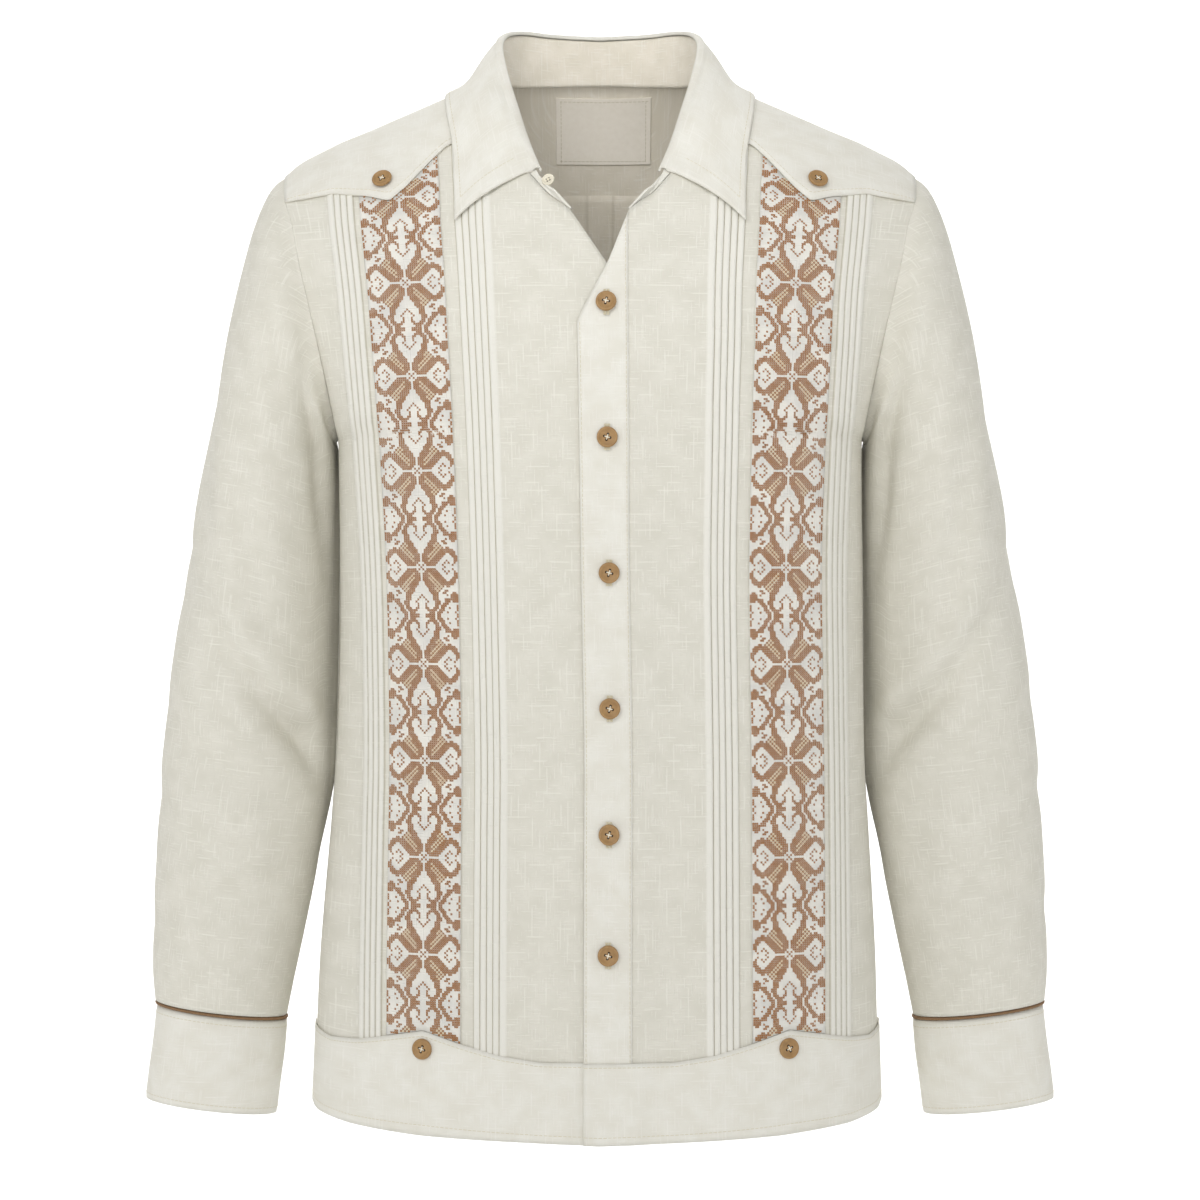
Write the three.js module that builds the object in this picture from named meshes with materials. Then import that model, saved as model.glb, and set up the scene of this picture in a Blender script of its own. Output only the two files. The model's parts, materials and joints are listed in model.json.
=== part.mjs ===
// Guayabera shirt, filled out and empty, hanging as worn. Millimetres, +Z up, front faces -Y,
// the wearer's left at +X. The origin is the middle of the neck at the height of its side points.
import * as THREE from "three";

// Cloth thicknesses and the gap kept between pieces that lie on each other.
const PANEL = 1.2;
const DOUBLE = 1.6;
const STRIP = 1.0;
const GAP = 0.35;
const TUCK_RISE = 0.9;
const PLEAT_RISE = 1.0;
// Heights of the main lines.
const UNDERARM_Z = -254;
const SHOULDER_TIP_Z = -69;
const ARM_ROWS = [-112, -145, -185, -220, -243, UNDERARM_Z];
const BODY_ROWS = [-340, -430, -520, -610];
const FLAP_LAP = 12;
// Armhole depth from the side plane, front and back, and the height where it is deepest.
const ARM_FRONT = 52;
const ARM_BACK = 60;
const ARM_MID_Z = -161;
// How far the shoulder's rounding reaches down, front and back.
const ROUND_FRONT = 110;
const ROUND_BACK = 120;
const SIDE_POWER = 2.5;
// Buttons: diameter and thickness.
const BUTTON = { d: 14, t: 2.6 };
const SMALL_BUTTON = { d: 9, t: 2 };
const CUFF_BUTTON = { d: 11, t: 2.4 };
const PIPING_D = 2.5;

// Torso by height: half width (the armhole above the underarm), depth of front and back,
// how far the front's columns spread, and the shift of the front's middle line.
const TORSO = [
  { z: 20, half: 221, front: 50, back: 88, spread: 1.2, shift: 0 },
  { z: -3, half: 221, front: 54, back: 90, spread: 1.19, shift: 0 },
  { z: -60, half: 221, front: 64, back: 95, spread: 1.16, shift: 0 },
  { z: -88, half: 219, front: 78, back: 99, spread: 1.135, shift: 0 },
  { z: -109, half: 212.5, front: 88, back: 103, spread: 1.12, shift: 0 },
  { z: -133, half: 207.7, front: 98, back: 107, spread: 1.1, shift: 0.2 },
  { z: -157, half: 202, front: 105, back: 110, spread: 1.083, shift: 0.4 },
  { z: -193, half: 194, front: 111, back: 112, spread: 1.065, shift: 1 },
  { z: -230, half: 187, front: 115, back: 113, spread: 1.045, shift: 1.4 },
  { z: -254, half: 184, front: 117, back: 113, spread: 1.035, shift: 1.7 },
  { z: -340, half: 184.4, front: 119, back: 108, spread: 1.007, shift: 2.5 },
  { z: -430, half: 185.5, front: 118, back: 106, spread: 1, shift: 4 },
  { z: -480, half: 186.8, front: 117, back: 107, spread: 1, shift: 4.6 },
  { z: -520, half: 189.5, front: 116, back: 108, spread: 1.003, shift: 4.5 },
  { z: -610, half: 195.4, front: 118, back: 111, spread: 1.007, shift: 4.3 },
  { z: -665, half: 197.2, front: 120, back: 113, spread: 1.008, shift: 4.3 },
  { z: -740, half: 199.5, front: 122, back: 115, spread: 1.01, shift: 4.3 },
];
// Shoulder ridge: height by distance from the middle.
const RIDGE = [
  { x: 0, z: 40 },
  { x: 30, z: 34 },
  { x: 55, z: 17 },
  { x: 74, z: -2 },
  { x: 91, z: -8 },
  { x: 160, z: -38 },
  { x: 181, z: -46.5 },
  { x: 206, z: -59 },
  { x: 221, z: -69 },
];
// Front neckline, and the turned-open edges of the two fronts above their meeting point.
const NECK_FRONT = [
  { m: 20, z: -103 },
  { m: 36, z: -91 },
  { m: 50, z: -74 },
  { m: 60, z: -58 },
  { m: 67, z: -38 },
  { m: 72, z: -20 },
  { m: 74, z: -3 },
];
const EDGE_LEFT = [
  { m: -16, z: -182 },
  { m: -10.5, z: -170 },
  { m: 5, z: -141 },
  { m: 20, z: -103 },
];
const EDGE_RIGHT = [
  { m: -24, z: -176 },
  { m: -5, z: -141 },
  { m: 20, z: -103 },
];
// Lower edge of the yoke's front flap, and top edge of the front hem band.
const FLAP_EDGE = [
  { m: 60, z: -50 },
  { m: 80, z: -47 },
  { m: 98, z: -52 },
  { m: 105, z: -54.5 },
  { m: 114, z: -63.7 },
  { m: 132.4, z: -85.4 },
  { m: 143.6, z: -95.2 },
  { m: 158, z: -91.3 },
  { m: 171, z: -89.6 },
  { m: 183.6, z: -87.8 },
  { m: 204, z: -90.5 },
  { m: 221, z: -91.6 },
];
const BAND_TOP = [
  { m: -24, z: -674.5 },
  { m: 44, z: -674 },
  { m: 71, z: -670 },
  { m: 96, z: -663 },
  { m: 110, z: -658.5 },
  { m: 121, z: -655 },
  { m: 137, z: -658 },
  { m: 166, z: -664 },
  { m: 184, z: -665.5 },
  { m: 198, z: -662 },
];
// Hem by share of the half width.
const HEM = [
  { u: 0, z: -729 },
  { u: 0.6, z: -725 },
  { u: 0.85, z: -721.5 },
  { u: 0.97, z: -718 },
  { u: 1, z: -712 },
];
// Tuck lines of one front, by column: the free edge of each fold.
const INNER_TUCKS = [70.5, 74.8, 79, 83.2, 87.5];
const OUTER_TUCKS = [150, 154, 158, 162];
const PLACKET_COLS = [-15, -1, 17];
const STRIP_COLS = [96, 108.5, 121, 127, 136, 146];
const SIDE_SHARES = [0, 0.4, 0.75, 1];
const LAST_COL = 166;

// Collar by share of the half neckline from the back's middle: fold line and the leaf's edge.
const COLLAR = [
  { s: 0, fx: 0, fy: 55, fz: 40.5, lx: 0, ly: 82, lz: -2 },
  { s: 0.13, fx: 33, fy: 51, fz: 41.5, lx: 38, ly: 78, lz: -4 },
  { s: 0.25, fx: 56, fy: 36, fz: 41, lx: 72, ly: 59, lz: -8 },
  { s: 0.36, fx: 67, fy: 14, fz: 34, lx: 93, ly: 28, lz: -14 },
  { s: 0.45, fx: 69, fy: -2, fz: 22, lx: 101, ly: 2, lz: -24 },
  { s: 0.55, fx: 65, fy: -18, fz: 2, lx: 102, ly: -22, lz: -38 },
  { s: 0.66, fx: 58, fy: -34, fz: -22, lx: 100, ly: -44, lz: -58 },
  { s: 0.8, fx: 48, fy: -54, fz: -54, lx: 99, ly: -70, lz: -85 },
  { s: 0.92, fx: 37, fy: -74, fz: -80, lx: 98.5, ly: -88, lz: -110 },
  { s: 1, fx: 29, fy: -83, fz: -88, lx: 98.5, ly: -90, lz: -112 },
];
const LEAF_END = 0.92;

// Sleeve rings: outer and inner point, half depth. The first is the armhole.
const SLEEVE = [
  { ox: 221, oz: -69, ix: 184, iz: -254, deep: 56 },
  { ox: 233, oz: -78, ix: 185.6, iz: -256.5, deep: 60 },
  { ox: 243, oz: -104, ix: 186.8, iz: -261, deep: 64 },
  { ox: 252, oz: -137, ix: 187.8, iz: -269, deep: 67 },
  { ox: 261, oz: -175, ix: 188.4, iz: -281, deep: 70 },
  { ox: 270, oz: -221, ix: 188.9, iz: -299, deep: 71 },
  { ox: 279, oz: -271, ix: 189.1, iz: -324, deep: 71 },
  { ox: 287, oz: -318, ix: 189.2, iz: -352, deep: 69.5 },
  { ox: 293.5, oz: -360, ix: 189.4, iz: -384, deep: 67 },
  { ox: 299.5, oz: -400, ix: 189.6, iz: -418, deep: 64 },
  { ox: 304, oz: -435, ix: 189.9, iz: -450, deep: 60.5 },
  { ox: 307.3, oz: -468, ix: 190.8, iz: -480, deep: 57.5 },
  { ox: 309.8, oz: -499, ix: 193, iz: -509, deep: 54 },
  { ox: 311.6, oz: -528, ix: 196.8, iz: -536, deep: 51 },
  { ox: 313, oz: -556, ix: 201, iz: -562, deep: 49 },
  { ox: 314.2, oz: -583, ix: 206, iz: -587, deep: 47 },
  { ox: 315, oz: -609, ix: 211, iz: -611, deep: 45 },
  { ox: 315, oz: -630, ix: 216, iz: -634, deep: 42 },
  { ox: 313.5, oz: -648, ix: 221, iz: -659, deep: 37 },
];
const CUFF = [
  { ox: 312.6, oz: -651.4, ix: 220.6, iz: -662.4, deep: 33 },
  { ox: 315, oz: -674, ix: 222.5, iz: -685, deep: 31 },
  { ox: 318, oz: -696, ix: 225.5, iz: -707, deep: 30.5 },
  { ox: 320.5, oz: -717, ix: 228, iz: -728, deep: 30 },
];
const PIPING = { ox: 313, oz: -649.7, ix: 220.8, iz: -660.6, deep: 34.8 };
// Sleeve creases: height, angle round the sleeve from its outer line to the front, slant,
// half length, half width and depth.
const CREASES = [
  { z: -430, a: 0.9, slant: 0.55, long: 75, wide: 15, deep: 4.5 },
  { z: -480, a: 1.3, slant: 0.6, long: 70, wide: 14, deep: 4 },
  { z: -380, a: 2.2, slant: 0.9, long: 55, wide: 14, deep: 3.5 },
  { z: -560, a: 1.5, slant: -0.4, long: 60, wide: 14, deep: 3 },
  { z: -440, a: -1.2, slant: -0.6, long: 70, wide: 15, deep: 4 },
  { z: -300, a: 1.5, slant: 1.2, long: 70, wide: 16, deep: 3 },
];

const V = (x, y, z) => new THREE.Vector3(x, y, z);
const clamp = (t, a = 0, b = 1) => Math.min(b, Math.max(a, t));
const smooth = (t) => clamp(t) ** 2 * (3 - 2 * clamp(t));
const mix = (a, b, t) => a + (b - a) * t;

// The two rows of a table round a value, and the share of the way between them.
function span(table, key, at) {
  const up = table[0][key] < table[table.length - 1][key] ? 1 : -1;
  let i = 0;
  while (i < table.length - 2 && up * at > up * table[i + 1][key]) i++;
  const t = (at - table[i][key]) / (table[i + 1][key] - table[i][key]);
  return [i, clamp(t)];
}

// Value of a column on straight lines between rows.
function line(table, key, at, out) {
  const [i, t] = span(table, key, at);
  return mix(table[i][out], table[i + 1][out], t);
}

// Value of a column on a smooth curve through the rows.
function curve(table, key, at, out) {
  const [i, t] = span(table, key, at);
  const last = table.length - 1;
  const slope = (k) => {
    const a = table[Math.max(0, k - 1)];
    const b = table[Math.min(last, k + 1)];
    return (b[out] - a[out]) / (b[key] - a[key]);
  };
  const h = table[i + 1][key] - table[i][key];
  const t2 = t * t;
  const t3 = t2 * t;
  const from = (2 * t3 - 3 * t2 + 1) * table[i][out] + (t3 - 2 * t2 + t) * h * slope(i);
  const to = (3 * t2 - 2 * t3) * table[i + 1][out] + (t3 - t2) * h * slope(i + 1);
  return from + to;
}

const half = (z) => curve(TORSO, "z", z, "half");
const ridge = (x) => line(RIDGE, "x", Math.abs(x), "z");

// Depth of the form from the side plane at a place seen from the front or the back.
function depth(x, z, key, arm, round) {
  const u = clamp(Math.abs(x) / half(z));
  const drop = clamp((ridge(x) - z) / round);
  const top = Math.sqrt(1 - (1 - drop) ** 2);
  const low = clamp((ARM_MID_Z - z) / (ARM_MID_Z - UNDERARM_Z));
  const edge = arm * Math.sqrt(1 - low * low);
  const power = mix(1, 0.42, smooth((-150 - z) / 104));
  return top * (edge + (curve(TORSO, "z", z, key) - edge) * (1 - u ** SIDE_POWER) ** power);
}
const onFront = (x, z) => V(x, -depth(x, z, "front", ARM_FRONT, ROUND_FRONT), z);
const onBack = (x, z) => V(x, depth(x, z, "back", ARM_BACK, ROUND_BACK), z);
const hem = (x, z) => line(HEM, "u", clamp(Math.abs(x) / half(z)), "z");

// Columns of a front from its edge to the side seam; a tuck is a free edge and its foot.
function frontColumns(edge) {
  const cols = [...edge, 40, 52, 62].map((c) => ({ c, rise: 0 }));
  for (const c of INNER_TUCKS) cols.push({ c, rise: TUCK_RISE }, { c: c + 0.9, rise: 0 });
  for (const c of STRIP_COLS) cols.push({ c, rise: 0, strip: true });
  for (const c of OUTER_TUCKS) cols.push({ c, rise: 0 }, { c: c + 0.9, rise: TUCK_RISE });
  for (const w of SIDE_SHARES) cols.push({ c: LAST_COL, w, rise: 0 });
  return cols;
}

function columnX(col, side, z) {
  const x = curve(TORSO, "z", z, "shift") + side * col.c * curve(TORSO, "z", z, "spread");
  return col.w ? mix(x, side * half(z), col.w) : x;
}

// One front's grid of points: rows from its top edge down to the hem.
function frontGrid(side, edge, opening) {
  const cols = frontColumns(edge);
  const rows = [];
  const settle = (col, height) => {
    let z = -100;
    for (let k = 0; k < 30; k++) z = height(side * columnX(col, side, z));
    return z;
  };
  const neck = (m) => (m < 20 ? line(opening, "m", m, "z") : line(NECK_FRONT, "m", m, "z"));
  const topOf = (m) => (m > 73.5 ? 1e3 : neck(m));
  const tops = cols.map((col) =>
    settle(col, (m) => Math.min(topOf(m), m > 64 ? line(FLAP_EDGE, "m", m, "z") + FLAP_LAP : 1e3)),
  );
  const laps = cols.map((col, j) =>
    Math.min(tops[j] - 8, settle(col, (m) => (m > 64 ? line(FLAP_EDGE, "m", m, "z") : 1e3))),
  );
  const sideLap = laps[cols.length - 1];
  const at = (col, z) => onFront(columnX(col, side, z), z);
  rows.push(cols.map((col, j) => at(col, tops[j])));
  rows.push(cols.map((col, j) => at(col, laps[j])));
  rows.push(cols.map((col, j) => at(col, laps[j] - 1.5)));
  for (const zArm of ARM_ROWS) {
    const t = (zArm - sideLap + 1.5) / (UNDERARM_Z - sideLap + 1.5);
    rows.push(cols.map((col, j) => at(col, mix(laps[j] - 1.5, UNDERARM_Z, t))));
  }
  for (const z of BODY_ROWS) rows.push(cols.map((col) => at(col, z)));
  const bandTop = (col) => {
    const m = col.w ? mix(LAST_COL, 198, col.w) : col.c;
    return line(BAND_TOP, "m", m, "z");
  };
  rows.push(cols.map((col) => at(col, bandTop(col) + 1.5)));
  rows.push(cols.map((col) => at(col, bandTop(col))));
  rows.push(
    cols.map((col) => {
      const z = hem(columnX(col, side, -720), -720);
      return at(col, z);
    }),
  );
  return { cols, rows, flip: side < 0 };
}

// Joins grids into one sheet: shared points are merged, each with the mean normal of its faces.
function sheetOf(grids) {
  const points = [];
  const known = new Map();
  const index = grids.map((g) =>
    g.rows.map((row) =>
      row.map((p) => {
        const key = [p.x, p.y, p.z].map((v) => Math.round(v * 100)).join(",");
        if (!known.has(key)) {
          known.set(key, points.length);
          points.push(p);
        }
        return known.get(key);
      }),
    ),
  );
  const quads = [];
  grids.forEach((g, k) => {
    const rows = index[k];
    const n = rows[0].length;
    for (let i = 0; i + 1 < rows.length; i++)
      for (let j = 0; j + (g.wrap ? 0 : 1) < n; j++) {
        const r = (j + 1) % n;
        const q = [rows[i][j], rows[i + 1][j], rows[i + 1][r], rows[i][r]];
        quads.push(g.flip ? [q[0], q[3], q[2], q[1]] : q);
      }
  });
  const normals = points.map(() => V(0, 0, 0));
  for (const [a, b, c, d] of quads) {
    const n = points[c].clone().sub(points[a]).cross(points[d].clone().sub(points[b]));
    for (const k of [a, b, c, d]) normals[k].add(n);
  }
  for (const n of normals) n.normalize();
  return { points, normals, index, quads };
}

const group = new THREE.Group();

function addMesh(name, geometry, color, roughness) {
  geometry.computeVertexNormals();
  const material = new THREE.MeshStandardMaterial({ color, roughness, metalness: 0 });
  const mesh = new THREE.Mesh(geometry, material);
  mesh.name = name;
  group.add(mesh);
}

// A closed wall between two layers of points that share the same quads.
function wallGeometry(outer, inner, quads) {
  const n = outer.length;
  const tris = [];
  const edges = new Set();
  for (const [a, b, c, d] of quads) {
    tris.push([a, b, c], [a, c, d], [n + a, n + c, n + b], [n + a, n + d, n + c]);
    for (const e of [[a, b], [b, c], [c, d], [d, a]]) edges.add(e.join("_"));
  }
  for (const e of edges) {
    const [a, b] = e.split("_").map(Number);
    if (!edges.has(b + "_" + a)) tris.push([b, a, n + a], [b, n + a, n + b]);
  }
  const position = [...outer, ...inner].flatMap((p) => [p.x, p.y, p.z]);
  const geometry = new THREE.BufferGeometry();
  geometry.setAttribute("position", new THREE.Float32BufferAttribute(position, 3));
  geometry.setIndex(tris.flat());
  return geometry;
}

// A wall over a whole sheet; low and high give its two faces' heights over the sheet.
function wallOf(sheet, low, high) {
  const move = (f) =>
    sheet.points.map((p, k) => p.clone().addScaledVector(sheet.normals[k], f(k, p)));
  return wallGeometry(move(high), move(low), sheet.quads);
}

// A piece cut from a grid: chosen rows and columns, drawn in at its edges by a trim.
function pieceOf(sheet, grid, k, rows, cols, low, high, trim = {}) {
  const pts = rows.map((i) => cols.map((j) => sheet.points[sheet.index[k][i][j]].clone()));
  const nor = rows.map((i) => cols.map((j) => sheet.normals[sheet.index[k][i][j]]));
  const last = { i: rows.length - 1, j: cols.length - 1 };
  const pull = (p, q, mm) => p.add(q.clone().sub(p).setLength(mm));
  const base = pts.map((row) => row.map((p) => p.clone()));
  for (let j = 0; j <= last.j; j++) {
    if (trim.top) pull(pts[0][j], base[1][j], trim.top);
    if (trim.bottom) pull(pts[last.i][j], base[last.i - 1][j], trim.bottom);
  }
  for (let i = 0; i <= last.i; i++) {
    if (trim.start) pull(pts[i][0], base[i][1], trim.start);
    if (trim.end) pull(pts[i][last.j], base[i][last.j - 1], trim.end);
  }
  const width = cols.length;
  const quads = [];
  for (let i = 0; i < last.i; i++)
    for (let j = 0; j < last.j; j++) {
      const q = [i * width + j, (i + 1) * width + j, (i + 1) * width + j + 1, i * width + j + 1];
      quads.push(grid.flip ? [q[0], q[3], q[2], q[1]] : q);
    }
  const layer = (f) =>
    pts.flatMap((row, i) =>
      row.map((p, j) => p.clone().addScaledVector(nor[i][j], f(rows[i], cols[j]))),
    );
  return wallGeometry(layer(high), layer(low), quads);
}

const range = (a, b) => Array.from({ length: b - a }, (_, k) => a + k);

// Colours: single cloth, doubled cloth, embroidery ground, wood, cord, label.
const LINEN = 0xe2dfd3;
const LINEN_DOUBLE = 0xf0ede0;
const GROUND = 0xd2bd9d;
const WOOD = 0xbe9664;
const CORD = 0x96785a;
const LABEL = 0xe9e3d2;

// Torso grids.
const left = frontGrid(1, PLACKET_COLS, EDGE_LEFT);
const right = frontGrid(-1, [-18, -2, 17], EDGE_RIGHT);
const ROWS = left.rows.length;
const BAND_ROW = ROWS - 2;
const COLS = left.cols.length;
// Columns that the yoke, the hem bands and the back share with the fronts.
const plain = (col) => col.strip || [62, 79, 87.5, 154, LAST_COL].includes(col.c);
const shared = left.cols.flatMap((col, j) => (j >= 5 && plain(col) ? [j] : []));
const ridgeX = (grid, side, j) => {
  const m = (k) => side * grid.rows[0][k].x;
  const t = (m(j) - m(shared[0])) / (m(COLS - 1) - m(shared[0]));
  return mix(74, 221, t);
};
const ridgeXs = shared.map((j) => ridgeX(right, -1, j));
const backXs = [0, 8, 9.5, 26, 50, ...ridgeXs];
const backCols = [...backXs.slice(1).reverse().map((x) => -x), ...backXs];
const seamBack = (x) => -78 - 10 * (x / 221) ** 2;
const atBack = (x0, z) => onBack((x0 / 221) * half(z), z);
const backRows = [
  backCols.map((x) => atBack(x, seamBack(x) + 10)),
  backCols.map((x) => atBack(x, seamBack(x))),
  backCols.map((x) => atBack(x, seamBack(x) - 1.5)),
];
for (const zArm of ARM_ROWS) {
  const t = (zArm + 89.5) / (UNDERARM_Z + 89.5);
  backRows.push(backCols.map((x) => atBack(x, mix(seamBack(x) - 1.5, UNDERARM_Z, t))));
}
for (const z of BODY_ROWS) backRows.push(backCols.map((x) => atBack(x, z)));
const backBand = (x) => mix(-668, -662, smooth((Math.abs(x) / 221 - 0.7) / 0.3));
backRows.push(backCols.map((x) => atBack(x, backBand(x) + 1.5)));
backRows.push(backCols.map((x) => atBack(x, backBand(x))));
backRows.push(backCols.map((x) => atBack(x, hem((x / 221) * half(-720), -720))));
const back = { rows: backRows, flip: true };

const torso = sheetOf([left, right, back]);
// Side seam normals lie in the side plane.
torso.points.forEach((p, k) => {
  if (Math.abs(p.y) < 0.01) torso.normals[k].setY(0).normalize();
});

// The fronts: tucks stand between the flap and the hem band; the left one lies over the right.
const tuckRise = (cols) => (i, j) => (i >= 2 && i <= BAND_ROW - 1 ? cols[j].rise : 0);
const lift = {
  left: (j) => (j < 3 ? 1.5 : 0),
  right: (j) => (j < 2 ? -0.9 : 0),
};
for (const [name, grid, k] of [["left", left, 0], ["right", right, 1]]) {
  const rise = tuckRise(grid.cols);
  const geometry = pieceOf(
    torso, grid, k, range(0, ROWS), range(0, COLS),
    (i, j) => lift[name](j) - PANEL,
    (i, j) => lift[name](j) + rise(i, j),
    { end: 0.2 },
  );
  addMesh("front_" + name, geometry, LINEN, 0.9);
}

// The back, with its box pleat fading below the yoke.
const pleat = (i, j) => {
  if (Math.abs(backCols[j]) > 8.5 || i < 2 || i > 9) return 0;
  return PLEAT_RISE * (1 - (i - 2) / 8);
};
addMesh(
  "back",
  pieceOf(
    torso, back, 2, range(0, backRows.length), range(0, backCols.length),
    () => -PANEL, pleat, { start: 0.2, end: 0.2 },
  ),
  LINEN, 0.9,
);

// Placket strip on the left front, with its buttonholes left to the surface.
addMesh(
  "placket",
  pieceOf(
    torso, left, 0, range(0, ROWS), [0, 1, 2],
    () => lift.left(0) + GAP, () => lift.left(0) + GAP + STRIP, { top: 0.2 },
  ),
  LINEN_DOUBLE, 0.9,
);

// Embroidered strips between the tuck groups.
const stripCols = left.cols.flatMap((col, j) => (col.strip ? [j] : []));
for (const [name, grid, k] of [["left", left, 0], ["right", right, 1]])
  addMesh(
    "embroidery_" + name,
    pieceOf(
      torso, grid, k, range(1, BAND_ROW + 1), stripCols,
      () => GAP, () => GAP + STRIP, { top: 0.4, bottom: 0.4, start: 0.3, end: 0.3 },
    ),
    GROUND, 0.85,
  );

// Hem bands.
for (const [name, grid, k] of [["left", left, 0], ["right", right, 1]])
  addMesh(
    "hem_band_front_" + name,
    pieceOf(
      torso, grid, k, [BAND_ROW, BAND_ROW + 1], [2, 3, 4, ...shared],
      (i, j) => lift[name](j) + 0.6, (i, j) => lift[name](j) + 0.6 + STRIP, { start: 0.4, end: 0.2 },
    ),
    LINEN_DOUBLE, 0.9,
  );
addMesh(
  "hem_band_back",
  pieceOf(
    torso, back, 2, [backRows.length - 2, backRows.length - 1], range(0, backCols.length),
    () => 0.5, () => 0.5 + STRIP, { start: 0.2, end: 0.2 },
  ),
  LINEN_DOUBLE, 0.9,
);

// Yoke: two front flaps and the back part meet on the shoulder ridge.
const arcShares = [0, 0.05, 0.2, 0.5, 1];
function flapGrid(grid, side) {
  const foot = shared.map((j) => grid.rows[0][j]);
  const crest = ridgeXs.map((m) => side * m);
  const rows = arcShares.map((t) =>
    foot.map((p, k) => {
      const z = mix(ridge(crest[k]), p.z, t);
      let m = mix(crest[k], p.x, t);
      if (k === 0) m = side * line([...NECK_FRONT].reverse(), "z", z, "m");
      if (k === foot.length - 1 && z < SHOULDER_TIP_Z) m = side * half(z);
      return t === 0 ? V(crest[k], 0, z) : t === 1 ? p.clone() : onFront(m, z);
    }),
  );
  rows.push(shared.map((j) => grid.rows[1][j].clone()));
  return { rows, flip: side < 0 };
}
const flapLeft = flapGrid(left, 1);
const flapRight = flapGrid(right, -1);
const backShares = [0, 0.04, 0.15, 0.36, 0.66, 1];
const neckBack = (x) => 6 - 8 * (Math.abs(x) / 74) ** 2;
const yokeBackRows = backShares.map((t) =>
  backCols.map((x) => {
    const top = Math.abs(x) < 73.9 ? neckBack(x) : ridge(x);
    const foot = atBack(x, seamBack(x) + 10);
    if (t === 1) return foot;
    const z = mix(top, foot.z, t);
    return t === 0 && Math.abs(x) >= 73.9 ? V(x, 0, z) : onBack(mix(x, foot.x, t), z);
  }),
);
yokeBackRows.push(backCols.map((x) => atBack(x, seamBack(x))));
const yokeBack = { rows: yokeBackRows, flip: true };
const yoke = sheetOf([yokeBack, flapLeft, flapRight]);
addMesh("yoke", wallOf(yoke, () => 0.85, () => 0.85 + DOUBLE), LINEN_DOUBLE, 0.9);

// Sleeves: the first ring follows the armhole's own points.
function armhole(side) {
  const grid = side > 0 ? left : right;
  const end = side > 0 ? backCols.length - 1 : 0;
  const front = range(0, 9).filter((i) => i !== 2).map((i) => grid.rows[i][COLS - 1]);
  const rear = range(0, 9).filter((i) => i !== 2).map((i) => backRows[i][end]);
  const halve = (pts) =>
    pts.flatMap((p, i) =>
      i > 1 && i < 5 ? [p, p.clone().add(pts[i + 1]).multiplyScalar(0.5)] : [p],
    );
  const f = halve(front);
  const b = halve(rear).slice(0, -1).reverse();
  return [V(side * 221, 0, SHOULDER_TIP_Z), ...f, ...b];
}

// A point of a ring given by its outer and inner point, half depth and angle.
function ringPoint(r, side, angle, grow = 0) {
  const c = (1 + Math.cos(angle)) / 2;
  const x = mix(r.ix, r.ox, c);
  const z = mix(r.iz, r.oz, c);
  const wide = (r.ox - r.ix) / 2;
  const dx = (grow * Math.cos(angle) * wide) / Math.hypot(wide, 1);
  return V(side * (x + dx), -(r.deep + grow) * Math.sin(angle), z);
}

function crease(side, z, angle) {
  let sum = 0;
  for (const c of CREASES) {
    const u = (((angle - c.a - (side > 0 ? 0 : 0.12) + 3 * Math.PI) % (2 * Math.PI)) - Math.PI) * 55;
    const v = z - c.z + (side > 0 ? 0 : 9);
    const along = u * Math.cos(c.slant) + v * Math.sin(c.slant);
    const across = -u * Math.sin(c.slant) + v * Math.cos(c.slant);
    sum -= c.deep * Math.exp(-((along / c.long) ** 2) - (across / c.wide) ** 2);
  }
  return sum;
}

function sleeveGrid(side) {
  const first = armhole(side);
  const n = first.length;
  const rows = [first.map((p) => p.clone().add(V(side * 0.55, 0, -0.1)))];
  const startAngle = first.map((p, j) => {
    const frac = clamp((SHOULDER_TIP_Z - p.z) / (SHOULDER_TIP_Z - UNDERARM_Z));
    const a = Math.acos(1 - 2 * frac);
    return j <= n / 2 ? a : 2 * Math.PI - a;
  });
  SLEEVE.slice(1).forEach((r, i) => {
    const even = smooth((i + 1) / 6);
    rows.push(
      first.map((_, j) => {
        const angle = mix(startAngle[j], (2 * Math.PI * j) / n, even);
        const z = mix(r.iz, r.oz, 0.5);
        const keep = smooth((Math.cos(angle) + 0.75) / 0.5) * smooth((-640 - z) / -60);
        return ringPoint(r, side, angle, keep * crease(side, z, angle));
      }),
    );
  });
  return { rows, flip: side > 0, wrap: true };
}

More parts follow.
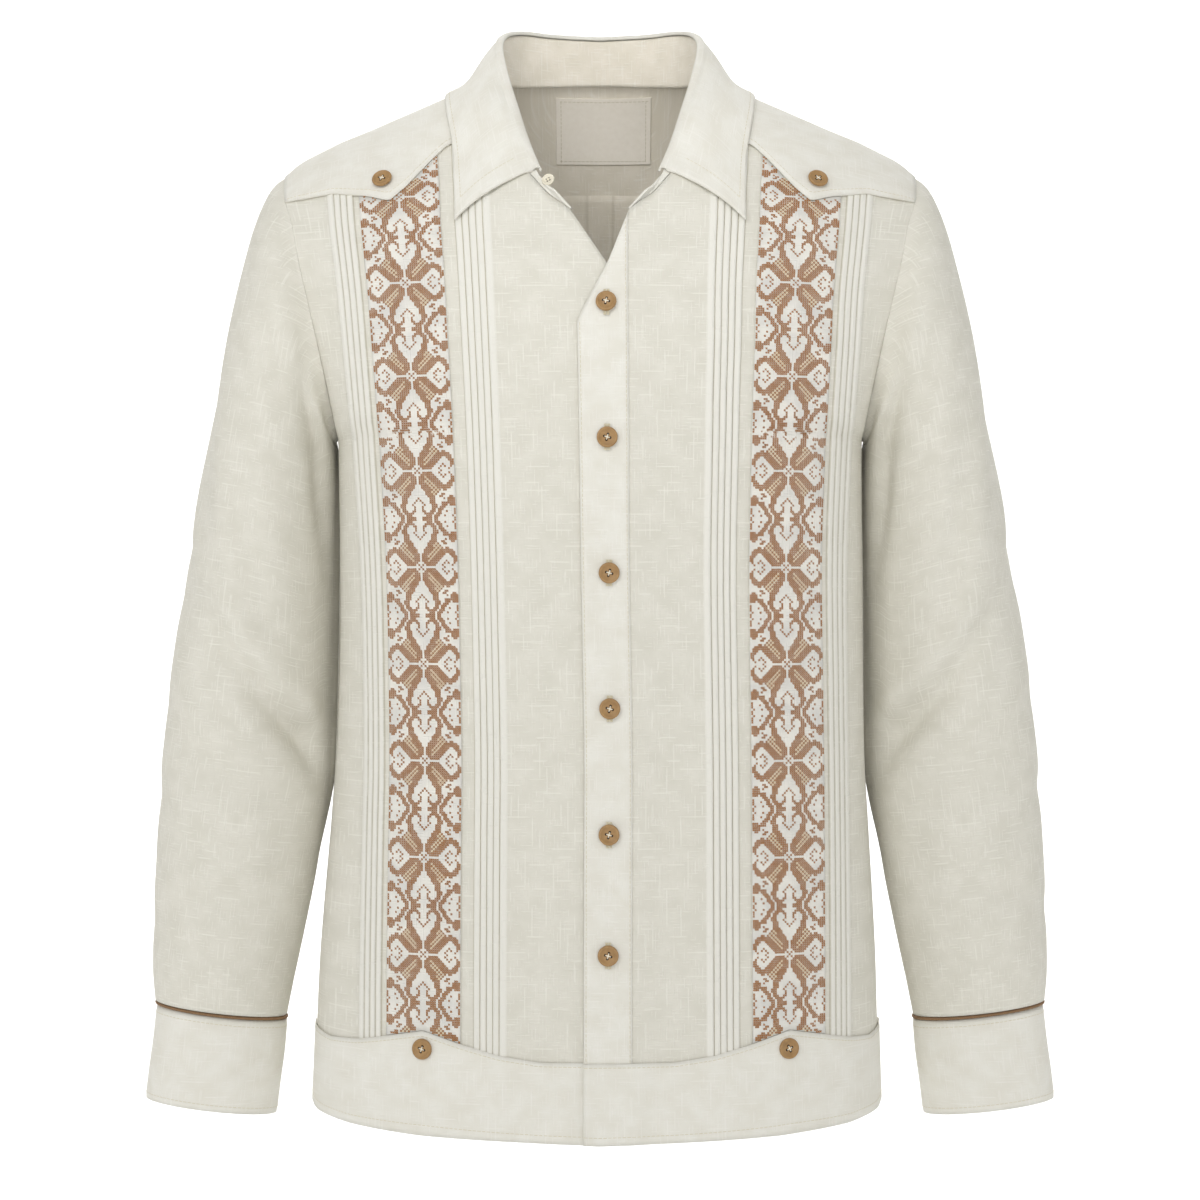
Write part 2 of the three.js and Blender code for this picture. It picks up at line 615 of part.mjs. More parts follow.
const cuffButtons = [];
for (const [name, side] of [["left", 1], ["right", -1]]) {
  const sleeve = sheetOf([sleeveGrid(side)]);
  addMesh("sleeve_" + name, wallOf(sleeve, () => -PANEL, () => 0), LINEN, 0.9);

  // Cuff: a strip wrapped round the wrist, its end lapped over its start at the outer back.
  const steps = 27;
  const start = -0.95;
  const turn = 2 * Math.PI + 0.42;
  const rows = CUFF.map((r) =>
    range(0, steps + 1).map((k) => {
      const t = (k / steps) * turn;
      const grow = 2.3 * smooth((t - turn + 1.15) / 0.6);
      return ringPoint(r, side, start + t, grow);
    }),
  );
  const cuff = sheetOf([{ rows, flip: side > 0 }]);
  addMesh("cuff_" + name, wallOf(cuff, () => -1.8, () => 0), LINEN_DOUBLE, 0.9);
  const corner = cuff.index[0][1];
  const quad = [corner[steps - 1], corner[steps], cuff.index[0][2][steps - 1], cuff.index[0][2][steps]];
  const place = V(0, 0, 0);
  const facing = V(0, 0, 0);
  for (const q of quad) {
    place.addScaledVector(cuff.points[q], 0.25);
    facing.add(cuff.normals[q]);
  }
  cuffButtons.push({ name: "button_cuff_" + name, place, facing: facing.normalize() });

  // Corded piping between sleeve and cuff.
  const around = 22;
  const sides = 6;
  const pipe = { points: [], quads: [] };
  for (let j = 0; j < around; j++)
    for (let k = 0; k < sides; k++) {
      const a = (2 * Math.PI * k) / sides;
      const r = PIPING_D / 2;
      const p = ringPoint(PIPING, side, (2 * Math.PI * j) / around, r * Math.cos(a) - 0.6);
      pipe.points.push(p.add(V(0, 0, r * Math.sin(a))));
      const next = ((j + 1) % around) * sides;
      const up = (k + 1) % sides;
      const q = [j * sides + k, next + k, next + up, j * sides + up];
      pipe.quads.push(side > 0 ? [q[0], q[3], q[2], q[1]] : q);
    }
  const geometry = new THREE.BufferGeometry();
  geometry.setAttribute(
    "position",
    new THREE.Float32BufferAttribute(pipe.points.flatMap((p) => [p.x, p.y, p.z]), 3),
  );
  geometry.setIndex(pipe.quads.flatMap(([a, b, c, d]) => [a, b, c, a, c, d]));
  addMesh("piping_" + name, geometry, CORD, 0.8);
}

// Collar stand: its foot follows the neckline points of the fronts and the yoke.
const neckLine = [
  ...[2, 3, 4].map((j) => right.rows[0][j]),
  ...flapRight.rows.slice(0, 5).map((row) => row[0]).reverse(),
  ...yokeBackRows[0].filter((p) => Math.abs(p.x) < 73.9),
  ...flapLeft.rows.slice(0, 5).map((row) => row[0]),
  ...[4, 3, 2].map((j) => left.rows[0][j]),
];
const travel = [0];
for (let k = 1; k < neckLine.length; k++)
  travel.push(travel[k - 1] + neckLine[k].distanceTo(neckLine[k - 1]));
const share = travel.map((t) => (2 * t) / travel[travel.length - 1] - 1);
const collarAt = (s, a, b, c) => {
  const m = Math.abs(s);
  const x = curve(COLLAR, "s", m, a);
  return V(Math.sign(s) * x, curve(COLLAR, "s", m, b), curve(COLLAR, "s", m, c));
};
const keepStand = share.map((s, k) => k).filter((k) => k === 0 || share[k] - share[k - 1] > 0.006);
const foot = keepStand.map((k) => {
  const p = neckLine[k].clone();
  const flat = V(p.x, p.y + 10, 0).normalize();
  return p.addScaledVector(flat, -1.1).add(V(0, 0, 0.3));
});
const standTop = keepStand.map((k) => {
  const fold = collarAt(share[k], "fx", "fy", "fz");
  const edge = collarAt(share[k], "lx", "ly", "lz");
  const inward = V(fold.x - edge.x, fold.y - edge.y, 0).normalize();
  return fold.addScaledVector(inward, 1.3).add(V(0, 0, -4.2));
});
const stand = sheetOf([
  { rows: [0, 0.5, 1].map((t) => foot.map((p, k) => p.clone().lerp(standTop[k], t))), flip: false },
]);
addMesh("collar_stand", wallOf(stand, () => -DOUBLE, () => 0), LINEN_DOUBLE, 0.9);

// Collar fall: rises from the stand's top, turns over and lies on the shoulders.
function clearOf(sheet, p, gap) {
  const triangle = new THREE.Triangle();
  const near = V(0, 0, 0);
  const facing = V(0, 0, 0);
  for (let pass = 0; pass < 3; pass++) {
    let least = Infinity;
    const push = V(0, 0, 0);
    for (const [a, b, c, d] of sheet.quads)
      for (const ids of [[a, b, c], [a, c, d]]) {
        triangle.set(...ids.map((k) => sheet.points[k]));
        triangle.closestPointToPoint(p, near);
        const away = near.distanceTo(p);
        if (away >= least) continue;
        least = away;
        triangle.getNormal(facing);
        const height = p.clone().sub(near).dot(facing);
        push.copy(facing).multiplyScalar(height < gap && away < 30 ? gap - height : 0);
      }
    p.add(push);
  }
  return p;
}
const fallShares = range(0, 29).map((k) => ((k - 14) / 14) * LEAF_END);
const fallRows = [0, 1, 2, 3, 4, 5].map((r) =>
  fallShares.map((s) => {
    const fold = collarAt(s * 0.96, "fx", "fy", "fz");
    const edge = collarAt(s, "lx", "ly", "lz");
    const out = V(edge.x - fold.x, edge.y - fold.y, 0).normalize();
    const over = fold.clone().addScaledVector(out, 5.5).add(V(0, 0, -2));
    if (r === 0) return fold.clone().add(V(0, 0, -0.6)).addScaledVector(out, -0.8);
    if (r === 1) return fold.clone().addScaledVector(out, 2.2).add(V(0, 0, 1.4));
    const t = (r - 2) / 3;
    const bulge = 5 * t * (1 - t) * 4;
    const p = over.lerp(edge, t).addScaledVector(out, bulge * 0.6).add(V(0, 0, bulge * 0.6));
    clearOf(stand, p, r > 2 ? 4.4 : 3.2);
    return clearOf(torso, clearOf(yoke, p, 5.8), 5.8);
  }),
);
const fall = sheetOf([{ rows: fallRows, flip: true }]);
addMesh("collar_fall", wallOf(fall, () => -DOUBLE, () => 0), LINEN_DOUBLE, 0.9);

// Blank label inside the back yoke, on the yoke's inner points.
const labelCols = [-32, -26, -9.5, -8, 0, 8, 9.5, 26, 37];
const labelRows = [1.6, 2, 3, 4, 4.13];
const yokeAt = (x, i) => {
  const row = Math.min(Math.floor(i), yokeBackRows.length - 2);
  const t = i - row;
  let j = backCols.findIndex((c) => c > x) - 1;
  if (backCols[j + 1] === undefined) j = backCols.length - 2;
  const u = (x - backCols[j]) / (backCols[j + 1] - backCols[j]);
  const get = (list, pick) => {
    const a = list[pick(row, j)].clone().lerp(list[pick(row, j + 1)], u);
    const b = list[pick(row + 1, j)].clone().lerp(list[pick(row + 1, j + 1)], u);
    return a.lerp(b, t);
  };
  const pick = (r, c) => yoke.index[0][r][c];
  return { p: get(yoke.points, pick), n: get(yoke.normals, pick).normalize() };
};
const labelGrid = labelRows.map((i) => labelCols.map((x) => yokeAt(x, i)));
const labelLayer = (mm) => labelGrid.flat().map(({ p, n }) => p.clone().addScaledVector(n, mm));
const labelQuads = [];
for (let i = 0; i + 1 < labelRows.length; i++)
  for (let j = 0; j + 1 < labelCols.length; j++) {
    const a = i * labelCols.length + j;
    const b = a + labelCols.length;
    labelQuads.push([a, a + 1, b + 1, b]);
  }
addMesh("label", wallGeometry(labelLayer(-0.05), labelLayer(-1.05), labelQuads), LABEL, 0.8);

// Buttons: a disc with a raised rim round a shallow dish.
function addButton(name, size, place, facing, seat) {
  const r = size.d / 2;
  const profile = [
    [0.001, 0],
    [r * 0.93, 0],
    [r, size.t * 0.35],
    [r * 0.96, size.t * 0.85],
    [r * 0.82, size.t],
    [r * 0.62, size.t * 0.72],
    [0.001, size.t * 0.7],
  ].map(([a, b]) => new THREE.Vector2(a, b));
  const segments = 14;
  const points = [V(0, 0, 0), V(0, 0, profile[6].y)];
  const rings = profile.slice(1, 6);
  for (const q of rings)
    for (let k = 0; k < segments; k++) {
      const a = (2 * Math.PI * k) / segments;
      points.push(V(q.x * Math.cos(a), q.x * Math.sin(a), q.y));
    }
  const tris = [];
  for (let k = 0; k < segments; k++) {
    const n = (k + 1) % segments;
    tris.push([0, 2 + n, 2 + k]);
    for (let i = 0; i + 1 < rings.length; i++) {
      const a = 2 + i * segments;
      const b = a + segments;
      tris.push([a + k, a + n, b + n], [a + k, b + n, b + k]);
    }
    const top = 2 + (rings.length - 1) * segments;
    tris.push([1, top + k, top + n]);
  }
  const turn = new THREE.Quaternion().setFromUnitVectors(V(0, 0, 1), facing);
  const geometry = new THREE.BufferGeometry();
  const at = place.clone().addScaledVector(facing, seat);
  const placed = points.map((p) => p.applyQuaternion(turn).add(at));
  geometry.setAttribute(
    "position",
    new THREE.Float32BufferAttribute(placed.flatMap((p) => [p.x, p.y, p.z]), 3),
  );
  geometry.setIndex(tris.flat());
  addMesh(name, geometry, WOOD, 0.45);
}

// Point and facing of a sheet straight behind or before a place seen from the front.
function seatOn(sheet, x, z) {
  let best = null;
  for (const [a, b, c, d] of sheet.quads)
    for (const tri of [[a, b, c], [a, c, d]]) {
      const [p, q, r] = tri.map((k) => sheet.points[k]);
      const det = (q.z - r.z) * (p.x - r.x) + (r.x - q.x) * (p.z - r.z);
      if (Math.abs(det) < 1e-9) continue;
      const u = ((q.z - r.z) * (x - r.x) + (r.x - q.x) * (z - r.z)) / det;
      const v = ((r.z - p.z) * (x - r.x) + (p.x - r.x) * (z - r.z)) / det;
      const y = u * p.y + v * q.y + (1 - u - v) * r.y;
      if (u < -1e-6 || v < -1e-6 || u + v > 1 + 1e-6 || (best && best.place.y < y)) continue;
      const facing = q.clone().sub(p).cross(r.clone().sub(p)).normalize();
      best = { place: V(x, y, z), facing };
    }
  return best;
}

const PLACKET_TOP = 1.5 + GAP + STRIP;
const FRONT_BUTTONS = [
  { x: 4.3, z: -169 },
  { x: 4.7, z: -259 },
  { x: 6, z: -349 },
  { x: 6.4, z: -439 },
  { x: 6, z: -523 },
  { x: 5.4, z: -603 },
];
FRONT_BUTTONS.forEach((b, k) => {
  const { place, facing } = seatOn(torso, b.x, b.z);
  addButton("button_front_" + (k + 1), BUTTON, place, facing, PLACKET_TOP + 0.9);
});
for (const [name, side] of [["left", 1], ["right", -1]]) {
  const onYoke = seatOn(yoke, side * 148.5, -80.5);
  addButton("button_yoke_" + name, BUTTON, onYoke.place, onYoke.facing, 0.75 + DOUBLE + 0.9);
  const onBand = seatOn(torso, 3.8 + side * 121.5, -667);
  addButton("button_hem_" + name, BUTTON, onBand.place, onBand.facing, 0.5 + STRIP + 0.7);
}
for (const b of cuffButtons) addButton(b.name, CUFF_BUTTON, b.place, b.facing, 0.5);
const [standMid, standHigh] = [1, 2].map((i) => stand.index[0][i]);
const onStand = V(0, 0, 0);
for (const k of [standMid[0], standMid[1]]) onStand.addScaledVector(stand.points[k], 0.15);
for (const k of [standHigh[0], standHigh[1]]) onStand.addScaledVector(stand.points[k], 0.35);
addButton("button_stand", SMALL_BUTTON, onStand, stand.normals[standMid[0]].clone(), 1.5);

export default group;
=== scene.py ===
import json
import math

import bmesh
import bpy
import numpy as np
from mathutils import Matrix, Vector
from mathutils.bvhtree import BVHTree

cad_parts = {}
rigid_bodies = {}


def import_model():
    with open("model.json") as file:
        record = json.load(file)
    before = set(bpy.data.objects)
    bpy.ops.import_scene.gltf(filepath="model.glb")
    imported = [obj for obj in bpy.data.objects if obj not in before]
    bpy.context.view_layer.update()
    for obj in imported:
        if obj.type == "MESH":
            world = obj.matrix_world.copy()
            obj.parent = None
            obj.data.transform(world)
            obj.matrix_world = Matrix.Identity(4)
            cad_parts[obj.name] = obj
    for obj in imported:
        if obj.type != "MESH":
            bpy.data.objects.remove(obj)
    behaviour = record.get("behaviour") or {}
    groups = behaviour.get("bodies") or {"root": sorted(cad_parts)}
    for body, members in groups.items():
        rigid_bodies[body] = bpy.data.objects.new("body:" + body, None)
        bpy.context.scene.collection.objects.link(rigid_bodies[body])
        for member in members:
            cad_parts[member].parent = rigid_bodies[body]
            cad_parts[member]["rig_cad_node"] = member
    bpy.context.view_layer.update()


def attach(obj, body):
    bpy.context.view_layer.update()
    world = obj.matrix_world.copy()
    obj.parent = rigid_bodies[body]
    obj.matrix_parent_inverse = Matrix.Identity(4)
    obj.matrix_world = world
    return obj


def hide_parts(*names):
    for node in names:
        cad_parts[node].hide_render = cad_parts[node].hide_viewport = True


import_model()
mm = 0.001
neckHalf, shoulderHalf = 74, 221  # half the neck's and the shoulders' width
armholeTop, armholeDeep = -69, 185  # height of the shoulder tip, and from there to the underarm

# Sizes in mm and colours as sRGB hex. Each piece has one dictionary of what a user would change.
detail = 1.0

# Torso by height: half width, front and back depth, spread of the front's columns, middle's shift.
torso = np.array([
    [20, 221, 50, 88, 1.2, 0], [-3, 221, 54, 90, 1.19, 0], [-60, 221, 64, 95, 1.16, 0],
    [-88, 219, 78, 99, 1.135, 0], [-109, 212.5, 88, 103, 1.12, 0], [-133, 207.7, 98, 107, 1.1, 0.2],
    [-157, 202, 105, 110, 1.083, 0.4], [-193, 194, 111, 112, 1.065, 1], [-230, 187, 115, 113, 1.045, 1.4],
    [-254, 184, 117, 113, 1.035, 1.7], [-340, 184.4, 119, 108, 1.007, 2.5], [-430, 185.5, 118, 106, 1, 4],
    [-480, 186.8, 117, 107, 1, 4.6], [-520, 189.5, 116, 108, 1.003, 4.5], [-610, 195.4, 118, 111, 1.007, 4.3],
    [-665, 197.2, 120, 113, 1.008, 4.3], [-740, 199.5, 122, 115, 1.01, 4.3],
])
# Across and height: shoulder ridge, neckline, front edges, flap edge and hem band top. The hem is by share.
ridgeLine = np.array([
    [0, 40], [30, 34], [55, 17], [74, -2], [91, -8], [160, -38], [181, -46.5], [206, -59], [221, -69],
])
neckFront = np.array([[20, -103], [36, -91], [50, -74], [60, -58], [67, -38], [72, -20], [74, -3]])
edgeLeft = np.array([[-16, -182], [-10.5, -170], [5, -141], [20, -103]])
edgeRight = np.array([[-24, -176], [-5, -141], [20, -103]])
flapEdge = np.array([
    [60, -50], [80, -47], [98, -52], [105, -54.5], [114, -63.7], [132.4, -85.4], [143.6, -95.2],
    [158, -91.3], [171, -89.6], [183.6, -87.8], [204, -90.5], [221, -91.6],
])
bandTop = np.array([
    [-24, -674.5], [44, -674], [71, -670], [96, -663], [110, -658.5], [121, -655], [137, -658],
    [166, -664], [184, -665.5], [198, -662],
])
hemLine = np.array([[0, -729], [0.6, -725], [0.85, -721.5], [0.97, -718], [1, -712]])
# Collar by share of the half neckline: fold line, leaf edge.
collarTable = np.array([
    [0, 0, 55, 40.5, 0, 82, -2], [0.13, 33, 51, 41.5, 38, 78, -4], [0.25, 56, 36, 41, 72, 59, -8],
    [0.36, 67, 14, 34, 93, 28, -14], [0.45, 69, -2, 22, 101, 2, -24], [0.55, 65, -18, 2, 102, -22, -38],
    [0.66, 58, -34, -22, 100, -44, -58], [0.8, 48, -54, -54, 99, -70, -85],
    [0.92, 37, -74, -80, 98.5, -88, -110], [1, 29, -83, -88, 98.5, -90, -112],
])
# Sleeve rings: outer x, z, inner x, z, half depth.
sleeveTable = np.array([
    [221, -69, 184, -254, 56], [233, -78, 185.6, -256.5, 60], [243, -104, 186.8, -261, 64],
    [252, -137, 187.8, -269, 67], [261, -175, 188.4, -281, 70], [270, -221, 188.9, -299, 71],
    [279, -271, 189.1, -324, 71], [287, -318, 189.2, -352, 69.5], [293.5, -360, 189.4, -384, 67],
    [299.5, -400, 189.6, -418, 64], [304, -435, 189.9, -450, 60.5], [307.3, -468, 190.8, -480, 57.5],
    [309.8, -499, 193, -509, 54], [311.6, -528, 196.8, -536, 51], [313, -556, 201, -562, 49],
    [314.2, -583, 206, -587, 47], [315, -609, 211, -611, 45], [315, -630, 216, -634, 42],
    [313.5, -648, 221, -659, 37],
])
cuffTable = np.array([
    [312.6, -651.4, 220.6, -662.4, 33], [315, -674, 222.5, -685, 31], [318, -696, 225.5, -707, 30.5],
    [320.5, -717, 228, -728, 30],
])
# Sleeve creases: height, angle, slant, half length, half width, depth.
creases = [
    (-425, 1.7, -0.8, 80, 11, 9), (-455, 2.5, -0.5, 45, 12, 7), (-330, 1.35, -1.25, 70, 12, 3),
    (-475, 1.25, -0.5, 60, 11, 3.5), (-250, 2.35, -1.4, 60, 12, 6), (-310, 2.55, -1.4, 50, 9, 4),
    (-560, 1.5, 0.3, 60, 12, 3), (-600, 0.9, -0.3, 40, 9, 2), (-622, 1.9, 0.2, 40, 8, 2.2),
    (-440, -1.6, 0.7, 80, 12, 7), (-330, -1.2, 1.0, 60, 12, 4), (-520, -1.9, 0.5, 60, 12, 3.5),
    (-240, -2.3, 1.2, 60, 12, 4), (-300, 0.4, -1.2, 80, 14, 3), (-180, 1.9, -1.3, 50, 12, 3),
    (-380, 0.5, -1.0, 70, 12, 3), (-525, 0.7, -0.6, 60, 11, 2.5),
]
placketEnd = 17.0
sleeveBack = 22  # how far the sleeve's inner side lies back, behind the body's side seam


def toLinear(code):
    parts = [int(code[k:k + 2], 16) / 255 for k in (0, 2, 4)]
    return tuple(c / 12.92 if c <= 0.04045 else ((c + 0.055) / 1.055) ** 2.4 for c in parts) + (1.0,)


def smooth(t):
    t = np.clip(t, 0, 1)
    return t * t * (3 - 2 * t)


# Smooth curve through one column of a table.
def curve(table, at, col):
    x, y = table[:, 0], table[:, col]
    slope = np.empty(len(x))
    slope[1:-1] = (y[2:] - y[:-2]) / (x[2:] - x[:-2])
    slope[0], slope[-1] = (y[1] - y[0]) / (x[1] - x[0]), (y[-1] - y[-2]) / (x[-1] - x[-2])
    at = np.asarray(at, float)
    up = 1 if x[-1] > x[0] else -1
    i = np.clip(np.searchsorted(up * x, up * at) - 1, 0, len(x) - 2)
    h = x[i + 1] - x[i]
    t = np.clip((at - x[i]) / h, 0, 1)
    t2, t3 = t * t, t ** 3
    return ((2 * t3 - 3 * t2 + 1) * y[i] + (t3 - 2 * t2 + t) * h * slope[i]
            + (3 * t2 - 2 * t3) * y[i + 1] + (t3 - t2) * h * slope[i + 1])


def along(table, at):
    return np.interp(at, table[:, 0], table[:, 1])


def half(z):
    return curve(torso, z, 1)


def depth(x, z, col, arm, reach):
    u = np.clip(np.abs(x) / half(z), 0, 1)
    drop = np.clip((along(ridgeLine, np.abs(x)) - z) / reach, 0, 1)
    low = np.clip((-161 - z) / 93, 0, 1)
    edge = arm * np.sqrt(1 - low * low)
    power = 1 - 0.58 * smooth((-150 - z) / 104)
    full = curve(torso, z, col)
    return np.sqrt(1 - (1 - drop) ** 2) * (edge + (full - edge) * (1 - u ** 2.5) ** power)


def onFront(x, z):
    return np.stack([x, -depth(x, z, 2, 52, 110), z], -1)


def onBack(x, z):
    return np.stack([x, depth(x, z, 3, 60, 120), z], -1)


def columnX(c, w, side, z):
    x = curve(torso, z, 5) + side * c * curve(torso, z, 4)
    return np.where(w > 0, x + (side * half(z) - x) * w, x)


# Unit normals of a grid of points.
def gridNormals(p, flip, wrap=False):
    if wrap:
        p = np.concatenate([p[:, -1:], p, p[:, :1]], 1)
    n = np.cross(np.gradient(p, axis=0), np.gradient(p, axis=1))
    if wrap:
        n = n[:, 1:-1]
    n = n / np.maximum(np.linalg.norm(n, axis=2, keepdims=True), 1e-9)
    return -n if flip else n


# An object for a mesh, in the scene.
def addPiece(name, mesh):
    piece = bpy.data.objects.new(name, mesh)
    bpy.context.scene.collection.objects.link(piece)
    return piece


surfaces = {}


# Closed thin sheet over a grid: low and high are its faces' heights over the points.
def shellMesh(name, p, n, low, high, material, uv=None, shade=None, flip=False, wrap=False, skip=None,
              inside=None):
    rows, cols = p.shape[:2]
    surfaces[name] = (p + n * np.broadcast_to(high, (rows, cols))[..., None], n)
    low = np.broadcast_to(low, (rows, cols))[..., None]
    high = np.broadcast_to(high, (rows, cols))[..., None]
    verts = np.concatenate([(p + n * high).reshape(-1, 3), (p + n * low).reshape(-1, 3)])
    total = rows * cols
    ids = np.arange(total).reshape(rows, cols)
    right = np.roll(ids, -1, 1) if wrap else ids[:, 1:]
    here = ids if wrap else ids[:, :-1]
    quads = np.stack([here[:-1], here[1:], right[1:], right[:-1]], -1).reshape(-1, 4)
    if skip is not None:
        quads = quads[~skip.reshape(-1)]
    if flip:
        quads = quads[:, ::-1]
    edges = np.concatenate([quads[:, [k, (k + 1) % 4]] for k in range(4)])
    keys = edges[:, 0] * total + edges[:, 1]
    lone = edges[~np.isin(edges[:, 1] * total + edges[:, 0], keys)]
    rim = np.stack([lone[:, 1], lone[:, 0], lone[:, 0] + total, lone[:, 1] + total], -1)
    faces = np.concatenate([quads, quads[:, ::-1] + total, rim])
    mesh = bpy.data.meshes.new(name)
    mesh.from_pydata((verts * mm).tolist(), [], faces.tolist())
    if uv is None:
        uv = np.stack([p[..., 0], p[..., 2]], -1)
    flat = np.concatenate([uv.reshape(-1, 2)] * 2) * mm
    loops = np.empty(len(mesh.loops), dtype=np.int32)
    mesh.loops.foreach_get("vertex_index", loops)
    mesh.uv_layers.new(name="cloth").data.foreach_set("uv", flat[loops].astype(np.float32).ravel())
    tone = np.ones((rows, cols)) if shade is None else np.broadcast_to(shade, (rows, cols))
    attribute = mesh.attributes.new("tone", "FLOAT", "POINT")
    attribute.data.foreach_set("value", np.concatenate([tone.reshape(-1)] * 2).astype(np.float32))
    mesh.polygons.foreach_set("use_smooth", [True] * len(mesh.polygons))
    mesh.materials.append(material)
    if inside is not None:
        mesh.materials.append(inside)
        count = len(quads)
        slots = [0] * count + [1] * count + [0] * (len(faces) - 2 * count)
        mesh.polygons.foreach_set("material_index", slots)
    mesh.validate()
    piece = addPiece(name, mesh)
    loose = np.ones(2 * total, bool)
    loose[np.unique(faces)] = False
    if loose.any():
        bm = bmesh.new()
        bm.from_mesh(mesh)
        bmesh.ops.delete(bm, geom=[v for v in bm.verts if not v.link_faces], context="VERTS")
        bm.to_mesh(mesh)
        bm.free()
    return piece


# A node with its settings, its input values or links.
def addNode(tree, kind, links=None, **settings):
    node = tree.nodes.new(kind)
    for key, value in settings.items():
        setattr(node, key, value)
    for key, value in (links or {}).items():
        if isinstance(value, bpy.types.NodeSocket):
            tree.links.new(value, node.inputs[key])
        else:
            node.inputs[key].default_value = value
    return node


# Slubs lying exactly along the threads of one direction: 0 to 1, pitch, width and run in mm.
def threadMask(tree, uv, axis, pitch, width, run, low, high):
    parts = addNode(tree, "ShaderNodeSeparateXYZ", {0: uv})
    lengthwise, across = parts.outputs[axis], parts.outputs[1 - axis]
    scaled = addNode(tree, "ShaderNodeMath", {0: across, 1: 1000 / pitch}, operation="MULTIPLY")
    index = addNode(tree, "ShaderNodeMath", {0: scaled.outputs[0]}, operation="FLOOR")
    inside = addNode(tree, "ShaderNodeMath", {0: scaled.outputs[0], 1: 0.5}, operation="PINGPONG")
    jump = addNode(tree, "ShaderNodeMath", {0: index.outputs[0], 1: 37.7}, operation="MULTIPLY")
    moved = addNode(tree, "ShaderNodeMath", {0: lengthwise, 1: 1000 / run}, operation="MULTIPLY")
    total = addNode(tree, "ShaderNodeMath", {0: moved.outputs[0], 1: jump.outputs[0]}, operation="ADD")
    noise = addNode(tree, "ShaderNodeTexNoise", {
        "W": total.outputs[0], "Scale": 1.0, "Detail": 1.0}, noise_dimensions="1D")
    cut = addNode(tree, "ShaderNodeMapRange", {
        "Value": noise.outputs["Fac"], "From Min": low, "From Max": high})
    edge, full = 0.5 - 0.62 * width / pitch, 0.5 - 0.2 * width / pitch
    body = addNode(tree, "ShaderNodeMapRange", {
        "Value": inside.outputs[0], "From Min": edge, "From Max": full})
    both = addNode(tree, "ShaderNodeMath", {0: cut.outputs[0], 1: body.outputs[0]}, operation="MULTIPLY")
    return both.outputs[0]


linen = {"color": "DDDACF", "slub": "E8E6DC", "gap": "D6D3C7", "rough": 0.92, "wall": 0.6}
doubled = {"color": "E5E3DA", "slub": "EDEBE4", "gap": "DFDCD1", "rough": 0.9}
paintedSeamShade = "A09478"  # painted shade: colour of the cloth in the shadow of a seam, tuck or pleat


# Woven flax: fine threads both ways with paler slubs and thinner places, soft and matt. The threads are
# drawn about 2 mm apart, coarser than the real 0.5 mm, so that they show.
def clothMaterial(name, look, slubs=1.0, weave=1.0):
    made = bpy.data.materials.new(name)
    made.use_nodes = True
    tree = made.node_tree
    tree.nodes.clear()
    uv = addNode(tree, "ShaderNodeUVMap", uv_map="cloth").outputs["UV"]
    tone = addNode(tree, "ShaderNodeAttribute", attribute_name="tone").outputs["Fac"]
    cloud = addNode(tree, "ShaderNodeTexNoise", {"Vector": uv, "Scale": 60.0, "Detail": 2.0})
    spread = addNode(tree, "ShaderNodeMapRange", {
        "Value": cloud.outputs["Fac"], "From Min": 0.35, "From Max": 0.65})
    base = addNode(tree, "ShaderNodeMix", {
        0: spread.outputs[0], 6: toLinear(look["gap"]), 7: toLinear(look["color"])}, data_type="RGBA")
    color, bumps = base.outputs[2], []
    layers = [(0, 2.1, 0.8, 12, 0.53, 0.62, "slub", 0.5), (1, 2.4, 0.8, 15, 0.53, 0.62, "slub", 0.5),
              (0, 1.7, 0.8, 8, 0.5, 0.62, "gap", 0.5), (1, 1.9, 0.8, 9, 0.5, 0.62, "gap", 0.5),
              (0, 5.3, 1.0, 26, 0.57, 0.64, "slub", 0.6), (1, 4.7, 0.9, 30, 0.57, 0.64, "slub", 0.55)]
    for axis, pitch, width, run, low, high, which, amount in layers:
        mask = threadMask(tree, uv, axis, pitch, width, run, low, high)
        weak = addNode(tree, "ShaderNodeMath", {0: mask, 1: amount * slubs}, operation="MULTIPLY")
        color = addNode(tree, "ShaderNodeMix", {
            0: weak.outputs[0], 6: color, 7: toLinear(look[which])}, data_type="RGBA").outputs[2]
        if which == "slub":
            bumps.append(mask)
    fold = addNode(tree, "ShaderNodeMapRange", {"Value": tone, "From Min": 1.0, "From Max": 1.1})
    color = addNode(tree, "ShaderNodeMix", {
        0: fold.outputs[0], 6: color, 7: toLinear(doubled["color"])}, data_type="RGBA").outputs[2]
    # A tone under 1 paints shade: the colour darkens towards the painted seam shade, for the shadow lines of
    # tucks, pleats and seams.
    line = addNode(tree, "ShaderNodeMapRange", {"Value": tone, "From Min": 1.0, "From Max": 0.0})
    color = addNode(tree, "ShaderNodeMix", {
        0: line.outputs[0], 6: color, 7: toLinear(paintedSeamShade)}, data_type="RGBA").outputs[2]
    height = addNode(tree, "ShaderNodeMath", {0: bumps[0], 1: bumps[1]}, operation="ADD")
    bump = addNode(tree, "ShaderNodeBump", {
        "Height": height.outputs[0], "Distance": 0.00025 * weave, "Strength": 0.5})
    surface = addNode(tree, "ShaderNodeBsdfPrincipled", {
        "Base Color": color, "Roughness": look["rough"], "Normal": bump.outputs[0],
        "Sheen Weight": 0.08, "Sheen Roughness": 0.5, "Specular IOR Level": 0.15})
    output = addNode(tree, "ShaderNodeOutputMaterial")
    tree.links.new(surface.outputs[0], output.inputs[0])
    return made


